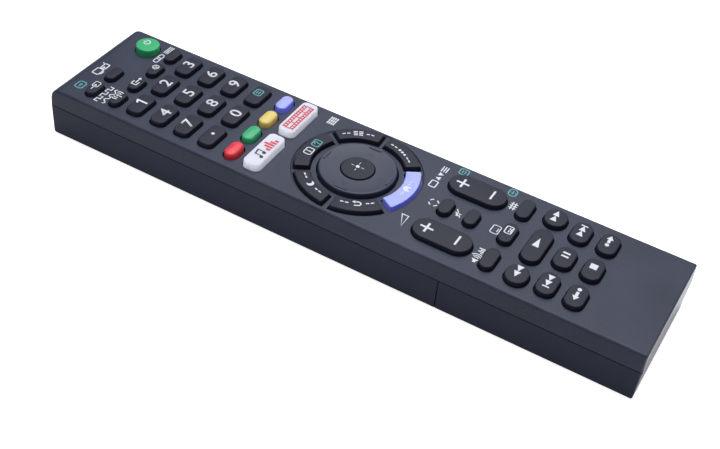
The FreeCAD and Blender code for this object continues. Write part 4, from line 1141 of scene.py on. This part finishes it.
def case_signs():
    """Signs on the case: a name, an ink, a place on the case and the shapes about it."""
    steps = np.array([(-1, 0), (-1, 1), (0, 1), (0, 0), (1, 0), (1, 1)]) - (0, 0.5)
    square = np.concatenate([steps * (1.4, 1.3) + (x, 1.2) for x in (-2.8, 0.0, 2.8)])
    along = np.linspace(-4.1, 4.1, 49)
    wave = np.stack([along, -1.15 + 0.62 * np.sin(along * 2.3)], axis=-1)
    chain = [outline(2.9, 1.6, 0.8, 0.36, x) for x in (-4.0, -2.0)]
    table = [(x, y) for x in (-1.35, 0, 1.35) for y in (-1.08, -0.36, 0.36, 1.08)]
    triangles = [patch([(-1.6, -0.7), (0.2, -0.7), (-0.7, 0.9)]),
                 patch([(0.5, 0.7), (1.4, -0.9), (2.3, 0.7)])]
    dial = [stroke(circle(0, 0, 1.45, start, start + 50, 7), 0.42) for start in (20, 110, 200, 290)]
    waves = [stroke(circle(-1.9, 0, reach, -48, 48, 9), 0.32) for reach in (0.9, 1.6, 2.3)]
    posts = bars([(x, 0) for x in (-1.0, 0, 1.0)], 0.34, 2.3)
    rungs = [(x, y) for x in (-1.48, -0.5, 0.5, 1.48) for y in (-0.5, 0.5)]
    return (
        ("set", "white", -5.6, 95.0, [outline(3.2, 2.4, 0.4, 0.4), bar(0, -1.7, 1.8, 0.4)]),
        ("radio", "white", -2.2, 94.7, [outline(2.8, 1.8, 0.4, 0.4), dot(-0.6, 0, 0.42),
                                        stroke([(0.9, 0.9), (1.5, 2.0)], 0.36)]),
        ("input", "teal", -14.6, 94.7, [outline(3.5, 2.8, 0.9, 0.38), bar(-0.5, 0, 1.1, 0.4),
                                        arrow(0.0, 0, 0.9, 1.3)]),
        ("square_wave", "white", -14.2, 84.45, [stroke(square, 0.36)]),
        ("round_wave", "white", -14.2, 84.45, [stroke(wave, 0.36)]),
        ("link", "white", 14.85, 83.5,
         chain + bars([(2.7, 0.7), (2.7, 0), (2.7, -0.7)], 4.2, 0.34)),
        ("table", "white", 16.9, 19.0, bars(table, 1.15, 0.48)),
        ("louder", "white", -11.7, -21.45,
         [stroke([(-2.5, -1.05), (2.5, -1.0), (2.5, 1.15)], 0.32, True)]),
        ("channels", "white", 12.2, -21.65, [outline(3.0, 2.1, 0.35, 0.4, -3.9)] + triangles
         + bars([(4.1, 0.8), (4.1, 0), (4.1, -0.8)], 2.7, 0.38)),
        ("card", "teal", 18.75, -27.05,
         [outline(2.7, 2.8, 0.5, 0.36)] + bars([(0, 0.45), (0, -0.4)], 1.4, 0.34)),
        ("knot", "teal", 18.7, -43.6, [outline(3.3, 2.5, 1.1, 0.36), bar(0, 0, 1.7, 0.36),
                                       dot(0, 0.7, 0.22), dot(0, -0.7, 0.22)]),
        ("jump", "white", 0.6, -25.7, dial),
        ("quiet", "white", 0.55, -34.0, [speaker(-0.2), stroke([(-1.5, -1.1), (1.6, 1.1)], 0.34)]),
        ("sound", "white", -12.3, -46.6,
         [speaker(-2.2)] + waves + levels(1.1, 0.65, -0.9, 0.4, (0.8, 1.7, 1.2, 1.8))),
        ("screen", "white", 0.55, -46.2, [outline(3.7, 2.5, 0.6, 0.28), bar(0, -0.65, 1.7, 0.28)]),
        ("shape", "white", 13.1, -46.2, posts + bars(rungs, 0.62, 0.34)),
    )


class REMOTE_OT_case_signs(bpy.types.Operator):
    """Print the signs on the top shell"""

    bl_idname = "remote.case_signs"
    bl_label = "Signs on the case"

    def execute(self, context):
        z = TOP + context.scene.remote_signs.lift
        for name, ink, x, y, shapes in case_signs():
            sign("case_" + name, shapes, ink, "root", x * MM, y * MM, z)
        return {"FINISHED"}


class REMOTE_OT_stage(bpy.types.Operator):
    """Set the floor, the soft lights and the camera"""

    bl_idname = "remote.stage"
    bl_label = "Stage"

    def execute(self, context):
        stage = context.scene.remote_stage
        self.floor()
        self.world(stage)
        for name, (place, size) in LAMPS.items():
            self.light(name, place, size, getattr(stage, name))
        self.camera(context, stage)
        return {"FINISHED"}

    def floor(self):
        """A pale floor that shines only towards the camera, in gloss and through glass."""
        mesh = bpy.data.meshes.new("floor")
        corners = [(-1, -1, 0), (1, -1, 0), (1, 1, 0), (-1, 1, 0)]
        mesh.from_pydata((np.array(corners) * FLOOR_REACH).tolist(), [], [(0, 1, 2, 3)])
        floor = bpy.data.objects.new("floor", mesh)
        bpy.context.scene.collection.objects.link(floor)
        floor.location.z = FLOOR_Z
        material = bpy.data.materials.new("floor")
        material.use_nodes = True
        tree = material.node_tree
        shader = tree.nodes["Principled BSDF"]
        preset(shader, {"Base Color": FLOOR_TINT, "Roughness": 0.8,
                        "Emission Color": (1, 1, 1, 1)})
        path = tree.nodes.new("ShaderNodeLightPath")
        seen = maths(tree, "MULTIPLY", path.outputs["Is Camera Ray"], FLOOR_SEEN)
        mirrored = maths(tree, "MULTIPLY", path.outputs["Is Glossy Ray"], FLOOR_MIRRORED)
        through = maths(tree, "MULTIPLY", path.outputs["Is Transmission Ray"], FLOOR_SEEN)
        both = maths(tree, "MAXIMUM", seen, mirrored)
        tree.links.new(maths(tree, "MAXIMUM", both, through), shader.inputs["Emission Strength"])
        mesh.materials.append(material)

    def world(self, stage):
        """A soft pale room: faint as a light, and as bright as the backdrop to the camera."""
        world = bpy.data.worlds.new("soft_room")
        bpy.context.scene.world = world
        world.use_nodes = True
        tree = world.node_tree
        back = tree.nodes["Background"]
        back.inputs["Color"].default_value = SKY_TINT
        path = tree.nodes.new("ShaderNodeLightPath")
        shown = maths(tree, "MAXIMUM", path.outputs["Is Camera Ray"],
                      path.outputs["Is Transmission Ray"])
        strength = maths(tree, "MULTIPLY", shown, BACKDROP - stage.sky)
        tree.links.new(maths(tree, "ADD", strength, stage.sky), back.inputs["Strength"])

    def light(self, name, place, size, power):
        """A square soft lamp that faces the middle of the object."""
        lamp = bpy.data.lights.new(name, "AREA")
        lamp.shape = "SQUARE"
        lamp.size = size
        lamp.energy = power
        lamp.color = LAMP_TINT
        piece = bpy.data.objects.new(name, lamp)
        bpy.context.scene.collection.objects.link(piece)
        piece.location = place
        piece.rotation_euler = (-Vector(place)).to_track_quat("-Z", "Y").to_euler()

    def camera(self, context, stage):
        """A camera that looks at the target from its azimuth and elevation, turned by its roll."""
        level = math.cos(stage.elevation)
        back = Vector((math.sin(stage.azimuth) * level, -math.cos(stage.azimuth) * level,
                       math.sin(stage.elevation)))
        right = Vector((0, 0, 1)).cross(back).normalized()
        up = back.cross(right)
        turn = Matrix((right, up, back)).transposed() @ Matrix.Rotation(stage.roll, 3, "Z")
        lens = bpy.data.cameras.new("camera")
        lens.sensor_width = SENSOR_WIDTH
        lens.lens = stage.lens
        lens.shift_y = stage.shift
        lens.clip_start = NEAREST_SEEN
        camera = bpy.data.objects.new("camera", lens)
        context.scene.collection.objects.link(camera)
        place = Matrix.Translation(Vector(TARGET) + back * stage.distance)
        camera.matrix_world = place @ turn.to_4x4()
        context.scene.camera = camera


class REMOTE_PT_sidebar(bpy.types.Panel):
    """Every step that builds the remote control, in its order"""

    bl_idname = "REMOTE_PT_sidebar"
    bl_label = "Remote control"
    bl_space_type = "VIEW_3D"
    bl_region_type = "UI"
    bl_category = "Remote"

    def draw(self, context):
        for step in STEPS:
            self.layout.operator(step.bl_idname)


STEPS = (
    REMOTE_OT_materials,
    REMOTE_OT_case,
    REMOTE_OT_inside,
    REMOTE_OT_cells,
    REMOTE_OT_keys,
    REMOTE_OT_rockers,
    REMOTE_OT_arcs,
    REMOTE_OT_pad,
    REMOTE_OT_key_signs,
    REMOTE_OT_case_signs,
    REMOTE_OT_stage,
)
GROUPS = (
    ("remote_keys", KeySizes),
    ("remote_pad", PadSizes),
    ("remote_cells", CellSizes),
    ("remote_signs", SignSizes),
    ("remote_finishes", Finishes),
    ("remote_stage", StageSizes),
)


def register():
    for name, group in GROUPS:
        bpy.utils.register_class(group)
        setattr(bpy.types.Scene, name, PointerProperty(type=group))
    for step in STEPS:
        bpy.utils.register_class(step)
    bpy.utils.register_class(REMOTE_PT_sidebar)


def unregister():
    bpy.utils.unregister_class(REMOTE_PT_sidebar)
    for step in reversed(STEPS):
        bpy.utils.unregister_class(step)
    for name, group in reversed(GROUPS):
        delattr(bpy.types.Scene, name)
        bpy.utils.unregister_class(group)


def main():
    register()
    bpy.context.scene.view_settings.view_transform = "Standard"
    for step in STEPS:
        group, name = step.bl_idname.split(".")
        getattr(getattr(bpy.ops, group), name)()


if __name__ == "__main__":
    main()
